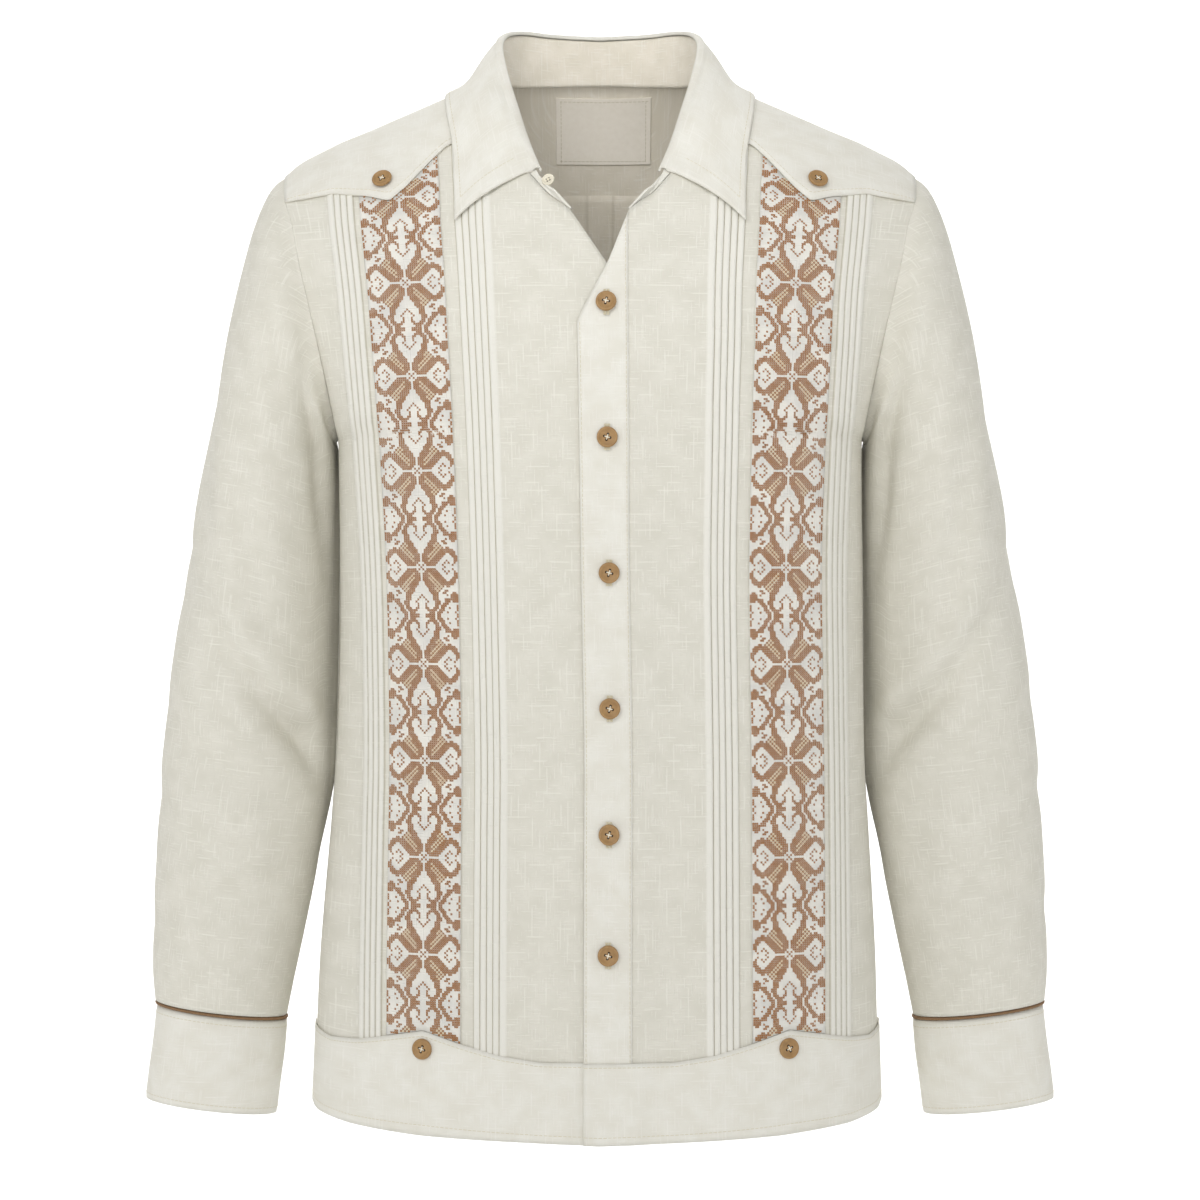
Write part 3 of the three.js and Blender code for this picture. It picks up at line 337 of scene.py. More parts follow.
# One colour broken up a little by a second one.
def plainMaterial(name, color, rough, second=None, scale=400.0, specular=0.3):
    made = bpy.data.materials.new(name)
    made.use_nodes = True
    tree = made.node_tree
    tree.nodes.clear()
    where = addNode(tree, "ShaderNodeTexCoord").outputs["Object"]
    noise = addNode(tree, "ShaderNodeTexNoise", {"Vector": where, "Scale": scale, "Detail": 3.0})
    mixed = addNode(tree, "ShaderNodeMix", {
        0: noise.outputs["Fac"], 6: toLinear(color), 7: toLinear(second or color)}, data_type="RGBA")
    surface = addNode(tree, "ShaderNodeBsdfPrincipled", {
        "Base Color": mixed.outputs[2], "Roughness": rough, "Specular IOR Level": specular})
    output = addNode(tree, "ShaderNodeOutputMaterial")
    tree.links.new(surface.outputs[0], output.inputs[0])
    return made


# One layer, washed: a matt, slightly cloudy cream with fine crossing slubs.
singleLinen = clothMaterial("unbleached linen, single layer", linen)
# Two layers, pressed flat: a little paler and smoother than the single cloth.
doubleLinen = clothMaterial("unbleached linen, doubled and pressed", doubled, slubs=0.6, weave=0.6)
# The cloth's other side, painted lighter and warmer than the outer linen to stand in for light that the
# shirt's own shade keeps from its inside; its weave softer.
insideLookPaintedLight = dict(linen, color="EFE8DA", gap="E6DFCF", slub="F6F2E8")
insideLinenPaintedLight = clothMaterial("linen seen from the inside", insideLookPaintedLight, slubs=0.7)
print("materials ready")


tucks = {"rise": 1.3, "wide": 3.6, "inner": [70.5, 74.8, 79.0, 83.2, 87.5],
         "outer": [150.0, 154.0, 158.0, 162.0]}


# Height of the cloth over its own surface at a column, and its tone: paler over each doubled tuck, with a
# painted shadow line just beside each tuck's edge.
def tuckProfile(c):
    rise, tone, wide = np.zeros_like(c), np.ones_like(c), tucks["wide"]
    for lines, sign in ((tucks["inner"], 1), (tucks["outer"], -1)):
        for edge in lines:
            t = (c - edge) * sign
            folded = (t <= 0) & (t > -wide)
            rise = np.maximum(rise, np.where(folded, tucks["rise"] * (0.45 + 0.55 * (t + wide) / wide), 0))
            tone = np.where(folded & (tone == 1), 1.1, tone)
            # Painted shadow: a thin dark line where each tuck's edge shades the cloth beside it.
            tone = np.where((t > 0) & (t < 0.65), 0.6, tone)
    flat = ((c > 87.5) & (c < 95.2)) | ((c > 146.6) & (c < 149.9))
    rise = np.where(flat, 0.0, rise)
    return rise, tone


# Columns of a front, its top and flap line, and how it turns into points.
def frontLayout(side, first, opening):
    cols = list(np.linspace(first, 68, int(34 * detail)))
    for lines, sign in ((tucks["inner"], 1), (tucks["outer"], -1)):
        for edge in lines:
            near = np.array([-3.55, -1.8, -0.05, 0.15, 0.6, 0.8]) * sign + edge
            cols += sorted(near)
    cols += list(np.linspace(89, 146.4, int(20 * detail))) + [166.0]
    cols = np.array(sorted(set(np.round(cols, 3))))
    c = np.concatenate([cols, np.full(int(14 * detail), 166.0)])
    w = np.concatenate([np.zeros(len(cols)), 1 - (1 - np.linspace(0, 1, int(14 * detail) + 1)[1:]) ** 1.6])

    def settle(height):
        z = np.full(len(c), -100.0)
        for _ in range(30):
            z = height(side * columnX(c, w, side, z))
        return z

    def neck(m):
        return np.where(m > 73.5, 1e3, np.where(m < 20, along(opening, m), along(neckFront, m)))

    top = settle(lambda m: np.minimum(neck(m), np.where(m > 64, along(flapEdge, m) + 12, 1e3)))
    lap = np.minimum(settle(lambda m: np.where(m > 64, along(flapEdge, m), 1e3)), top - 8)
    return c, w, top, lap


def bandHeight(c, w):
    return along(bandTop, np.where(w > 0, 166 + 32 * w, c))


# Soft hollows of hanging cloth, in mm.
def drape(x, z):
    low = smooth((-240 - z) / 160)
    a = 1.6 * np.sin(x / 27.0 + z / 190.0 + 0.6) * smooth((np.abs(x) - 150) / 25)
    b = 1.0 * np.sin(x / 40.0 - z / 120.0) * smooth((np.abs(x) - 25) / 25)
    return low * (a + b)


# A sheet over the front of the torso between two lines, low and high over it, with tucks and lift.
def frontPiece(side, name, c, w, zTop, zBottom, rows, low, high, material, useTucks=False, lift=None,
               band=None):
    t = np.linspace(0, 1, rows)[:, None]
    z = zTop[None] * (1 - t) + zBottom[None] * t
    cc, ww = np.broadcast_to(c, z.shape), np.broadcast_to(w, z.shape)
    x = columnX(cc, ww, side, z)
    p = onFront(x, z)
    n = gridNormals(p, side < 0)
    p = p + n * drape(x, z)[..., None]
    rise, tone = np.zeros(z.shape), np.ones(z.shape)
    if useTucks:
        r, k = tuckProfile(c)
        fade = smooth((z - band[None] + 6) / 3) * smooth((zTop[None] - 8 - z) / 3)
        rise, tone = r[None] * fade, 1 - (1 - k[None]) * fade
    up = 0 if lift is None else lift(cc)
    if useTucks:
        frontOuter[name] = (p, n, (up + rise)[..., None])
    uv = np.stack([cc + ww * 20, z], -1)
    return shellMesh(name, p, n, low + up, high + up + rise, material, uv, tone, flip=side < 0)


def leftLift(c):
    return 1.5 * smooth((40 - c) / 23)


def rightSink(c):
    return -0.9 * smooth((17 - c) / 16)


made, frontOuter = {}, {}
bodyRows = int(110 * detail)
layouts = {"left": (1, -15.0, edgeLeft, leftLift), "right": (-1, -18.0, edgeRight, rightSink)}
for word, (side, first, opening, lift) in layouts.items():
    c, w, top, lap = frontLayout(side, first, opening)
    hem = along(hemLine, np.clip(np.abs(columnX(c, w, side, np.full(len(c), -720.0))) / 198.6, 0, 1))
    band = bandHeight(c, w)
    made["front_" + word] = frontPiece(
        side, "cloth_front_" + word, c, w, top, hem, bodyRows, -linen["wall"], 0.0, singleLinen,
        True, lift, band)
    start = np.linspace(-15.2 if side > 0 else 13, 166, int(70 * detail))
    cb = np.concatenate([start, np.full(int(14 * detail), 166.0)])
    wb = np.concatenate([np.zeros(len(start)), np.linspace(0, 1, int(14 * detail) + 1)[1:]])
    hb = along(hemLine, np.clip(np.abs(columnX(cb, wb, side, np.full(len(cb), -720.0))) / 198.6, 0, 1))
    over = (lambda c: leftLift(c) + 0.95 * smooth((30 - c) / 12)) if side > 0 else lift
    made["hem_band_front_" + word] = frontPiece(
        side, "cloth_hem_band_front_" + word, cb, wb, bandHeight(cb, wb), hb + 0.3, int(16 * detail),
        0.7, 1.9, doubleLinen, lift=over)

# Placket on the left front.
cp = np.linspace(-15, placketEnd, 14)
zero = np.zeros(len(cp))
xTop = cp * 1.12
topP = np.where(cp < 18, along(edgeLeft, xTop), -103) - 0.3
hemP = np.full(len(cp), -727.5)
roundEdge = -0.5 * (np.exp(-((cp + 15) / 1.2) ** 2) + np.exp(-((cp - placketEnd) / 1.2) ** 2))
made["placket"] = frontPiece(
    1, "cloth_placket", cp, zero, topP, hemP, bodyRows, 1.7, 2.9, doubleLinen,
    lift=lambda c: np.interp(c, cp, roundEdge))
print("fronts ready")

# Embroidered strips: ground cloth, then the stitches over it. A stitch is 1.44 mm, 45 to a repeat.
embroidery = {
    "ground": "E6E3DA", "thread": "B47C42", "light": "EADFC6", "stitch": 1.44, "repeat": 45, "proud": 0.3,
    "from": 96.0, "to": 146.0,
}
# Evenweave: flatter and plainer than the shirt's own cloth, so that the stitches stand out.
groundLook = dict(doubled, color=embroidery["ground"], gap="D6D4CE", slub="E6E4E0")
groundCloth = clothMaterial("evenweave ground of the embroidery", groundLook, slubs=0.3)
# Mercerised cotton: a soft lustre that breaks the tan into lighter and darker strands.
stitchThread = plainMaterial("mercerised cotton thread, tan", embroidery["thread"], 0.55, "96632F", 900)
lightThread = plainMaterial("mercerised cotton thread, pale", embroidery["light"], 0.55, "DCCBA8", 900)


# Charted quarter of the repeat: 1 is a full stitch, 2 a pale one.
def chartOf():
    height, width = 23, 19
    cells = np.zeros((height, width), int)
    arms = [
        [(1.5, 2.9), (2.3, 6.0), (4.6, 9.4), (7.0, 13.2), (7.8, 16.4), (7.0, 19.0), (4.9, 20.7), (2.8, 20.0),
         (2.1, 18.0)],
        [(2.9, 1.5), (6.6, 2.3), (9.0, 4.8), (11.2, 7.0), (13.8, 7.9), (16.2, 6.6), (17.5, 4.2), (17.2, 1.8),
         (15.6, 1.0)],
    ]
    wide = [0.95, 1.5, 1.5, 1.5, 1.35, 1.15, 1.0, 0.6, 0.5]
    for y in range(height):
        for x in range(width):
            for arm in arms:
                for k in range(len(arm) - 1):
                    a, b = np.array(arm[k]), np.array(arm[k + 1])
                    t = np.clip(np.dot((x, y) - a, b - a) / np.dot(b - a, b - a), 0, 1)
                    if np.linalg.norm((x, y) - (a + (b - a) * t)) <= wide[k] + (wide[k + 1] - wide[k]) * t:
                        cells[y, x] = 1
            if cells[y, x] == 0 and 6 <= x + y <= 20 and abs(x - y) <= 4.2 - 0.02 * (x + y - 12) ** 2:
                cells[y, x] = 2 if (x + y) % 2 else 3
            up, out = 22.5 - y, x - 8
            arm = out >= 0 and abs(out - 0.72 * up) <= 1.45 and up < 8.5
            blob = ((x - 16.6) / 2.5) ** 2 + ((up - 8.4) / 2.3) ** 2 <= 1
            if arm or blob:
                cells[y, x] = 1
    dots = [(0, 0), (1, 1), (2, 2), (3, 3), (0, 13), (1, 14), (2, 15), (3, 16), (2, 17), (11, 1), (12, 0),
            (12, 2), (13, 3), (14, 2), (11, 12), (12, 11), (12, 12), (13, 13), (13, 11), (2, 22), (3, 22),
            (4, 22), (5, 22), (6, 22), (13, 21), (14, 19), (18, 18), (18, 19), (18, 20), (17, 21), (18, 22)]
    for x, y in dots:
        cells[y, x] = 1
    return cells


chart = chartOf()


# Where each cross-stitch sits, its facing and which thread it uses.
def stitchPoints(side):
    c0, size = (embroidery["from"] + embroidery["to"]) / 2, embroidery["stitch"]
    z = np.linspace(-20, -668, 3000)
    line = onFront(columnX(np.full(3000, c0), np.zeros(3000), side, z), z)
    run = np.concatenate([[0], np.cumsum(np.linalg.norm(np.diff(line, axis=0), axis=1))])
    anchor = np.interp(153.0, -z, run)  # where a repeat starts
    rows = np.arange(int((run[0] - anchor) / size), int((run[-1] - anchor) / size))
    places, kinds = [], []
    for row in rows:
        at = anchor + row * size
        zRow = np.interp(at, run, z)
        k = int(round(row)) % embroidery["repeat"]
        k = min(k, embroidery["repeat"] - k)
        for col in range(-18, 19):
            kind = chart[k, abs(col)]
            if kind:
                places.append((c0 + col * 24.6 / 18.5, zRow))
                kinds.append(kind)
    places, kinds = np.array(places), np.array(kinds)
    c, zz = places[:, 0], places[:, 1]
    x = columnX(c, np.zeros(len(c)), side, zz)
    inside = (zz < along(flapEdge, side * x) - 0.5) & (zz > along(bandTop, c) + 0.8)
    x, zz, kinds = x[inside], zz[inside], kinds[inside]
    p = onFront(x, zz)
    dx = onFront(x + 0.5, zz) - p
    dz = onFront(x, zz + 0.5) - p
    n = np.cross(dx, dz)
    n /= np.linalg.norm(n, axis=1, keepdims=True)
    n *= np.sign(-n[:, 1:2])
    return p + n * (1.42 + drape(x, zz)[:, None]), n, dx / np.linalg.norm(dx, axis=1, keepdims=True), kinds


# One cross-stitch: two crossing threads with a rounded back, the second over the first.
def crossMesh(name, size, proud):
    verts, faces = [], []
    for turn, lift in ((math.radians(45), 0.0), (math.radians(-45), proud * 0.3)):
        ax = np.array([math.cos(turn), math.sin(turn)]) * size * 0.56
        ay = np.array([-math.sin(turn), math.cos(turn)]) * size * 0.2
        start = len(verts)
        for end in (-1, 1):
            for across, high in ((-1, 0.0), (0, proud), (1, 0.0)):
                x, y = ax * end + ay * across
                verts.append((x, y, high * 0.9 + lift * (high > 0)))
        faces += [(start, start + 3, start + 4, start + 1), (start + 1, start + 4, start + 5, start + 2)]
    mesh = bpy.data.meshes.new(name)
    mesh.from_pydata((np.array(verts) * mm).tolist(), [], faces)
    mesh.update()
    return addPiece(name, mesh)


# Sets one mesh on every point, turned by the point's own facing, with a slight unevenness.
def instanceTree(name, material, seed=7):
    tree = bpy.data.node_groups.new(name, "GeometryNodeTree")
    tree.interface.new_socket("Points", in_out="INPUT", socket_type="NodeSocketGeometry")
    tree.interface.new_socket("Stitch", in_out="INPUT", socket_type="NodeSocketObject")
    tree.interface.new_socket("Unevenness", in_out="INPUT", socket_type="NodeSocketFloat")
    tree.interface.new_socket("Geometry", in_out="OUTPUT", socket_type="NodeSocketGeometry")
    inputs = addNode(tree, "NodeGroupInput")
    facing = addNode(tree, "GeometryNodeInputNamedAttribute", {"Name": "facing"}, data_type="FLOAT_VECTOR")
    across = addNode(tree, "GeometryNodeInputNamedAttribute", {"Name": "across"}, data_type="FLOAT_VECTOR")
    first = addNode(tree, "FunctionNodeAlignRotationToVector", {"Vector": facing.outputs[0]}, axis="Z")
    turned = addNode(tree, "FunctionNodeAlignRotationToVector", {
        "Rotation": first.outputs[0], "Vector": across.outputs[0]}, axis="X", pivot_axis="Z")
    upper = addNode(tree, "ShaderNodeMath", {0: inputs.outputs["Unevenness"], 1: 1.0}, operation="ADD")
    lower = addNode(tree, "ShaderNodeMath", {0: 1.0, 1: inputs.outputs["Unevenness"]}, operation="SUBTRACT")
    amount = addNode(tree, "FunctionNodeRandomValue", {
        2: lower.outputs[0], 3: upper.outputs[0], "Seed": seed}, data_type="FLOAT")
    info = addNode(tree, "GeometryNodeObjectInfo", {"Object": inputs.outputs["Stitch"], "As Instance": True})
    spread = addNode(tree, "GeometryNodeInstanceOnPoints", {
        "Points": inputs.outputs["Points"], "Instance": info.outputs["Geometry"],
        "Rotation": turned.outputs[0], "Scale": amount.outputs[1]})
    solid = addNode(tree, "GeometryNodeRealizeInstances", {"Geometry": spread.outputs[0]})
    colored = addNode(tree, "GeometryNodeSetMaterial", {"Geometry": solid.outputs[0], "Material": material})
    addNode(tree, "NodeGroupOutput", {0: colored.outputs[0]})
    return tree


# Points with their facings through the instancing tree, kept as a plain mesh.
def scatter(name, points, facing, across, item, material, unevenness=0.08):
    mesh = bpy.data.meshes.new(name + "Points")
    mesh.from_pydata((points * mm).tolist(), [], [])
    for key, value in (("facing", facing), ("across", across)):
        attribute = mesh.attributes.new(key, "FLOAT_VECTOR", "POINT")
        attribute.data.foreach_set("vector", value.astype(np.float32).ravel())
    carrier = addPiece(name + "Carrier", mesh)
    tree = instanceTree(name + "Tree", material)
    modifier = carrier.modifiers.new("stitches", "NODES")
    modifier.node_group = tree
    for socket in tree.interface.items_tree:
        if socket.in_out == "INPUT" and socket.name == "Stitch":
            modifier[socket.identifier] = item
        if socket.in_out == "INPUT" and socket.name == "Unevenness":
            modifier[socket.identifier] = unevenness
    bpy.context.view_layer.update()
    done = bpy.data.meshes.new_from_object(carrier.evaluated_get(bpy.context.evaluated_depsgraph_get()))
    bpy.data.objects.remove(carrier, do_unlink=True)
    if not done.materials:
        done.materials.append(material)
    return addPiece(name, done)


cross = crossMesh("crossStitch", embroidery["stitch"], embroidery["proud"])
for word, side in (("left", 1), ("right", -1)):
    cs = np.linspace(embroidery["from"] + 0.3, embroidery["to"] - 0.3, int(26 * detail))
    zs = np.zeros(len(cs))
    zt = np.full(len(cs), -90.0)
    for _ in range(20):
        zt = along(flapEdge, side * columnX(cs, zs, side, zt))
    made["embroidery_" + word] = frontPiece(
        side, "cloth_embroidery_" + word, cs, zs, zt - 0.4, along(bandTop, cs) + 0.4, bodyRows, 0.4, 1.35,
        groundCloth)
    p, n, a, kinds = stitchPoints(side)
    for marks, material, label in (((1, 3), stitchThread, "dark"), ((2,), lightThread, "pale")):
        pick = np.isin(kinds, marks)
        threads = scatter(f"stitches_{label}_{word}", p[pick], n[pick], a[pick], cross, material)
        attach(threads, "root")
        made[f"stitches_{label}_{word}"] = threads
bpy.data.objects.remove(cross, do_unlink=True)
print("embroidery ready")

# Back with its box pleat, and its hem band.
backLook = {"pleatHalf": 8.5, "pleatRise": 1.3, "pleatEnd": -420}


# Height of the yoke's seam across the back.
def backSeam(x):
    return -78 - 10 * (x / shoulderHalf) ** 2


even = np.linspace(-1, 1, int(110 * detail))
ub = np.sin(even * math.pi / 2) * 0.35 + even * 0.65
xb = np.sort(np.concatenate([ub * shoulderHalf, [-9.5, -8, 8, 9.5, -0.8, 0.8]]))
hemB = along(hemLine, np.abs(xb) / shoulderHalf)
bandB = -668 + 6 * smooth((np.abs(xb) / shoulderHalf - 0.7) / 0.3)


def backPiece(name, zTop, zBottom, rows, low, high, material, pleat=False):
    t = np.linspace(0, 1, rows)[:, None]
    z = zTop[None] * (1 - t) + zBottom[None] * t
    x = xb[None] / shoulderHalf * half(z)
    p = onBack(x, z)
    n = gridNormals(p, True)
    p = p + n * drape(x + 31, z)[..., None]
    rise = np.zeros(z.shape)
    tone = np.ones(z.shape)
    if pleat:
        fade = smooth((z - backLook["pleatEnd"]) / 330)
        rise = np.where(np.abs(xb[None]) <= backLook["pleatHalf"], backLook["pleatRise"] * fade, 0)
        # Painted shadow lines along both folds of the box pleat, fading out with it.
        tone = np.where((np.abs(np.abs(xb[None]) - 9) < 1), 1 - 0.25 * fade, 1)
    uv = np.stack([np.broadcast_to(xb, z.shape), z], -1)
    return shellMesh(name, p, n, low, high + rise, material, uv, tone, flip=True, inside=insideLinenPaintedLight)


made["back"] = backPiece(
    "cloth_back", backSeam(xb) + 10, hemB, bodyRows, -linen["wall"], 0.0, singleLinen, True)
made["hem_band_back"] = backPiece(
    "cloth_hem_band_back", bandB, hemB + 0.3, int(16 * detail), 0.7, 1.9, doubleLinen)

# Yoke: one grid from the front flaps over the ridge to the back seam, open at the neck.
shoulderShare = np.linspace(0, 1, int(46 * detail))
frontRows, backRows = int(18 * detail), int(22 * detail)


# Flap grid and ridge of one shoulder, from the neck outwards.
def yokeHalf(side):
    share = shoulderShare
    crest = neckHalf + (shoulderHalf - neckHalf) * share
    zc = along(ridgeLine, crest)
    foot = 70 + (218.6 - 70) * share
    zf = along(flapEdge, foot)
    rows = []
    for t in np.linspace(1, 0, frontRows) ** 1.7:
        z = zc + (zf - zc) * t
        m = crest + (foot - crest) * t
        m = np.where(share == 0, np.interp(z, neckFront[:, 1], neckFront[:, 0]), m)
        m = np.where((share == 1) & (z < armholeTop), half(z), m)
        p = onFront(side * m, z)
        if t == 0:
            p[:, 1] = 0
        rows.append(p)
    return np.array(rows)


# Height of the neckline across the back.
def backNeck(x):
    return 6 - 8 * (np.abs(x) / neckHalf) ** 2


# The yoke's back, from the ridge and the neckline down to its seam.
def yokeBackGrid():
    outward = neckHalf + (shoulderHalf - neckHalf) * shoulderShare
    x = np.concatenate([-outward[::-1], np.linspace(-neckHalf, neckHalf, int(40 * detail))[1:-1], outward])
    top = np.where(np.abs(x) < neckHalf - 0.1, backNeck(x), along(ridgeLine, np.abs(x)))
    foot = backSeam(x)
    rows = []
    for t in np.linspace(0, 1, backRows) ** 1.7:
        z = top + (foot - top) * t
        xx = x * (1 - t) + (x / shoulderHalf * half(z)) * t
        p = onBack(xx, z)
        if t == 0:
            p[np.abs(x) >= neckHalf - 0.1, 1] = 0
        rows.append(p)
    return np.array(rows)


yokeBack = yokeBackGrid()
flapR, flapL = yokeHalf(-1), yokeHalf(1)
middle = yokeBack.shape[1] - 2 * len(shoulderShare)
hole = np.broadcast_to(yokeBack[:1, len(shoulderShare):len(shoulderShare) + middle], (frontRows, middle, 3))
frontSide = np.concatenate([flapR[:, ::-1], hole, flapL], 1)
grid = np.concatenate([frontSide[:-1], yokeBack])
n = gridNormals(grid, True)
ridgeRow = frontRows - 1
nBack = gridNormals(yokeBack, True)
inNeck = slice(len(shoulderShare), len(shoulderShare) + middle)
n[ridgeRow:, inNeck] = nBack[:, inNeck]
yokeOuter = (grid, n)
skip = np.zeros((grid.shape[0] - 1, grid.shape[1] - 1), bool)
skip[:ridgeRow, len(shoulderShare) - 1:len(shoulderShare) + middle] = True
away = np.abs(np.linspace(-1, 1, grid.shape[1]))[None]
toEnd = np.broadcast_to(smooth((away - 0.95) / 0.05), grid.shape[:2])
made["yoke"] = shellMesh(
    "cloth_yoke", grid, n, 0.85 - 0.6 * toEnd, 2.3 - 1.3 * toEnd, doubleLinen,
    np.stack([grid[..., 0], grid[..., 2] + grid[..., 1]], -1), None, True, skip=skip, inside=insideLinenPaintedLight)
print("back and yoke ready")


# Points of a slanting ring with its outer and inner end and half depth, moved out by grow.
def ringPoints(row, side, angle, grow):
    ox, oz, ix, iz, deep = row
    k = (1 + np.cos(angle)) / 2
    x = ix + (ox - ix) * k + grow * np.cos(angle)
    return np.stack([side * x, -(deep + grow) * np.sin(angle), iz + (oz - iz) * k], -1)


# Point of the armhole seam at an angle from the shoulder tip round the front.
def armhole(side, angle):
    z = armholeTop - armholeDeep * (1 - np.cos(angle)) / 2
    m = np.clip(half(z), 0, shoulderHalf)
    return np.where((np.sin(angle) >= 0)[:, None], onFront(side * m, z), onBack(side * m, z))


# One sleeve: rings from the armhole to the cuff with creases, its inner side tucked behind the body.
def sleevePiece(side, name):
    around, rowCount = int(130 * detail), int(150 * detail)
    angle = np.linspace(0, 2 * math.pi, around, endpoint=False)
    index = np.arange(len(sleeveTable), dtype=float)
    table = np.column_stack([index, sleeveTable])
    rows = []
    for s in np.linspace(0, 1, rowCount):
        at = (len(sleeveTable) - 1) * s
        ring = [float(curve(table, at, k)) for k in range(1, 6)]
        z = (ring[1] + ring[3]) / 2
        grow = np.zeros(around)
        for zc, a, slant, long, wide, deep in creases:
            u = ((angle - a - (0 if side > 0 else 0.12) + 3 * math.pi) % (2 * math.pi) - math.pi) * 55
            v = z - zc + (0 if side > 0 else 9)
            lengthwise = u * math.cos(slant) + v * math.sin(slant)
            crosswise = -u * math.sin(slant) + v * math.cos(slant)
            grow -= deep * np.exp(-(lengthwise / long) ** 2 - (crosswise / wide) ** 2)
            grow += 0.35 * deep * np.exp(-(lengthwise / long) ** 2 - ((crosswise - 1.7 * wide) / wide) ** 2)
        grow *= smooth((np.cos(angle) + 0.97) / 0.3) * smooth((-640 - z) / -50)
        tuckBehind = float(smooth((-252 - ring[3]) / 26) * smooth((ring[3] + 550) / 90))
        ring[2] += tuckBehind * (float(half(ring[3])) - 0.4 - ring[2])
        p = ringPoints(ring, side, angle, grow)
        p[:, 1] += sleeveBack * tuckBehind * (1 - np.cos(angle)) / 2
        blend = float(smooth(1 - at / 2.2))
        if blend > 0:
            seam = armhole(side, angle) + np.array([side * (0.05 + 10 * at / 2.2), 0, -8 * at / 2.2])
            p = p * (1 - blend) + seam * blend
        rows.append(p)
    grid = np.array(rows)
    n = gridNormals(grid, side > 0, wrap=True)
    run = np.cumsum(np.concatenate([np.zeros((1, around)), np.linalg.norm(np.diff(grid, axis=0), axis=2)]), 0)
    fold = np.abs(((angle - 1.6) + math.pi) % (2 * math.pi) - math.pi)
    uv = np.stack([np.broadcast_to(fold * 55, run.shape), run[-1:] - run], -1)
    return shellMesh(name, grid, n, -linen["wall"], 0.0, singleLinen, uv, None, side > 0, wrap=True)


cuffLook = {"lap": 0.42, "lift": 2.3, "turn": 0.95}  # overlap and turn in radians, lift of the upper end


# One cuff: a band round the wrist whose end laps over its start, its edges pressed thin.
def cuffPiece(side, name):
    steps, rowCount = int(150 * detail), int(20 * detail)
    whole = 2 * math.pi + cuffLook["lap"]
    t = np.linspace(0, 1, steps) * whole
    grow = cuffLook["lift"] * smooth((t - whole + 1.15) / 0.6)
    table = np.column_stack([np.arange(4.0), cuffTable])
    rows = []
    for s in np.linspace(0, 1, rowCount):
        ring = [float(curve(table, 3 * s, k)) for k in range(1, 6)]
        pressed = 0.5 * math.exp(-(s / 0.04) ** 2) + 0.5 * math.exp(-((s - 1) / 0.04) ** 2)
        rows.append(ringPoints(ring, side, t - cuffLook["turn"], grow - pressed))
    grid = np.array(rows)
    n = gridNormals(grid, side > 0)
    uv = np.stack([np.broadcast_to(t * 40, grid.shape[:2]), grid[..., 2]], -1)
    return shellMesh(name, grid, n, -1.6, 0.0, doubleLinen, uv, None, side > 0)


cordLook = {"color": "8F7152", "width": 2.5, "ring": (313, -649.7, 220.8, -660.6, 34.8), "twist": 60}
# Cotton cord: a dull brown line, ribbed by its twist.
cordFinish = plainMaterial("cotton cord piping", cordLook["color"], 0.75, "7C6045", 500)


# Corded piping round the sleeve's end, twisted a little.
def pipingPiece(side, name):
    around, sides = int(160 * detail), 10
    a = np.linspace(0, 2 * math.pi, around, endpoint=False)
    rows = []
    for k in range(sides):
        b = 2 * math.pi * k / sides
        r = cordLook["width"] / 2 * (1 + 0.05 * np.sin(a * cordLook["twist"] + b * 2))
        p = ringPoints(cordLook["ring"], side, a, r * math.cos(b) - 0.6)
        p[:, 2] += r * math.sin(b)
        rows.append(p)
    grid = np.array(rows).transpose(1, 0, 2)
    verts = (grid.reshape(-1, 3) * mm).tolist()
    faces = []
    for j in range(around):
        for k in range(sides):
            here, ahead = j * sides, (j + 1) % around * sides
            q = [here + k, ahead + k, ahead + (k + 1) % sides, here + (k + 1) % sides]
            faces.append(q[::-1] if side > 0 else q)
    mesh = bpy.data.meshes.new(name)
    mesh.from_pydata(verts, [], faces)
    mesh.polygons.foreach_set("use_smooth", [True] * len(mesh.polygons))
    mesh.materials.append(cordFinish)
    return addPiece(name, mesh)


for word, side in (("left", 1), ("right", -1)):
    made["sleeve_" + word] = sleevePiece(side, "cloth_sleeve_" + word)
    made["cuff_" + word] = cuffPiece(side, "cloth_cuff_" + word)
    made["piping_" + word] = pipingPiece(side, "cord_piping_" + word)
print("sleeves ready")

# Collar: the stand inside the neckline, the fall turned over it onto the shoulders. Sizes and gaps in mm.
collarLook = {"reach": 0.92, "roll": 5, "bulge": 12, "yokeGap": 2.8, "frontGap": 2.2, "standGap": 2.0}


# Point of the collar's fold (first 1) or leaf edge (first 4) by share of the half neckline.
def collarAt(s, first):
    m = np.abs(s)
    p = np.stack([curve(collarTable, m, first + k) for k in range(3)], -1)
    p[:, 0] *= np.sign(s)
    return p


# Neckline by share from the back's middle to the front ends.
def neckPoint(s):
    x = np.linspace(0, neckHalf, 60)
    back = onBack(x, backNeck(x))
    z = np.linspace(-4, -103, 120)
    m = np.interp(z, neckFront[:, 1], neckFront[:, 0])
    front = onFront(m, z)
    path = np.concatenate([back, front])
    run = np.concatenate([[0], np.cumsum(np.linalg.norm(np.diff(path, axis=0), axis=1))])
    at = np.abs(s) * run[-1]
    p = np.stack([np.interp(at, run, path[:, k]) for k in range(3)], -1)
    p[:, 0] *= np.where(s < 0, -1, 1)
    return p


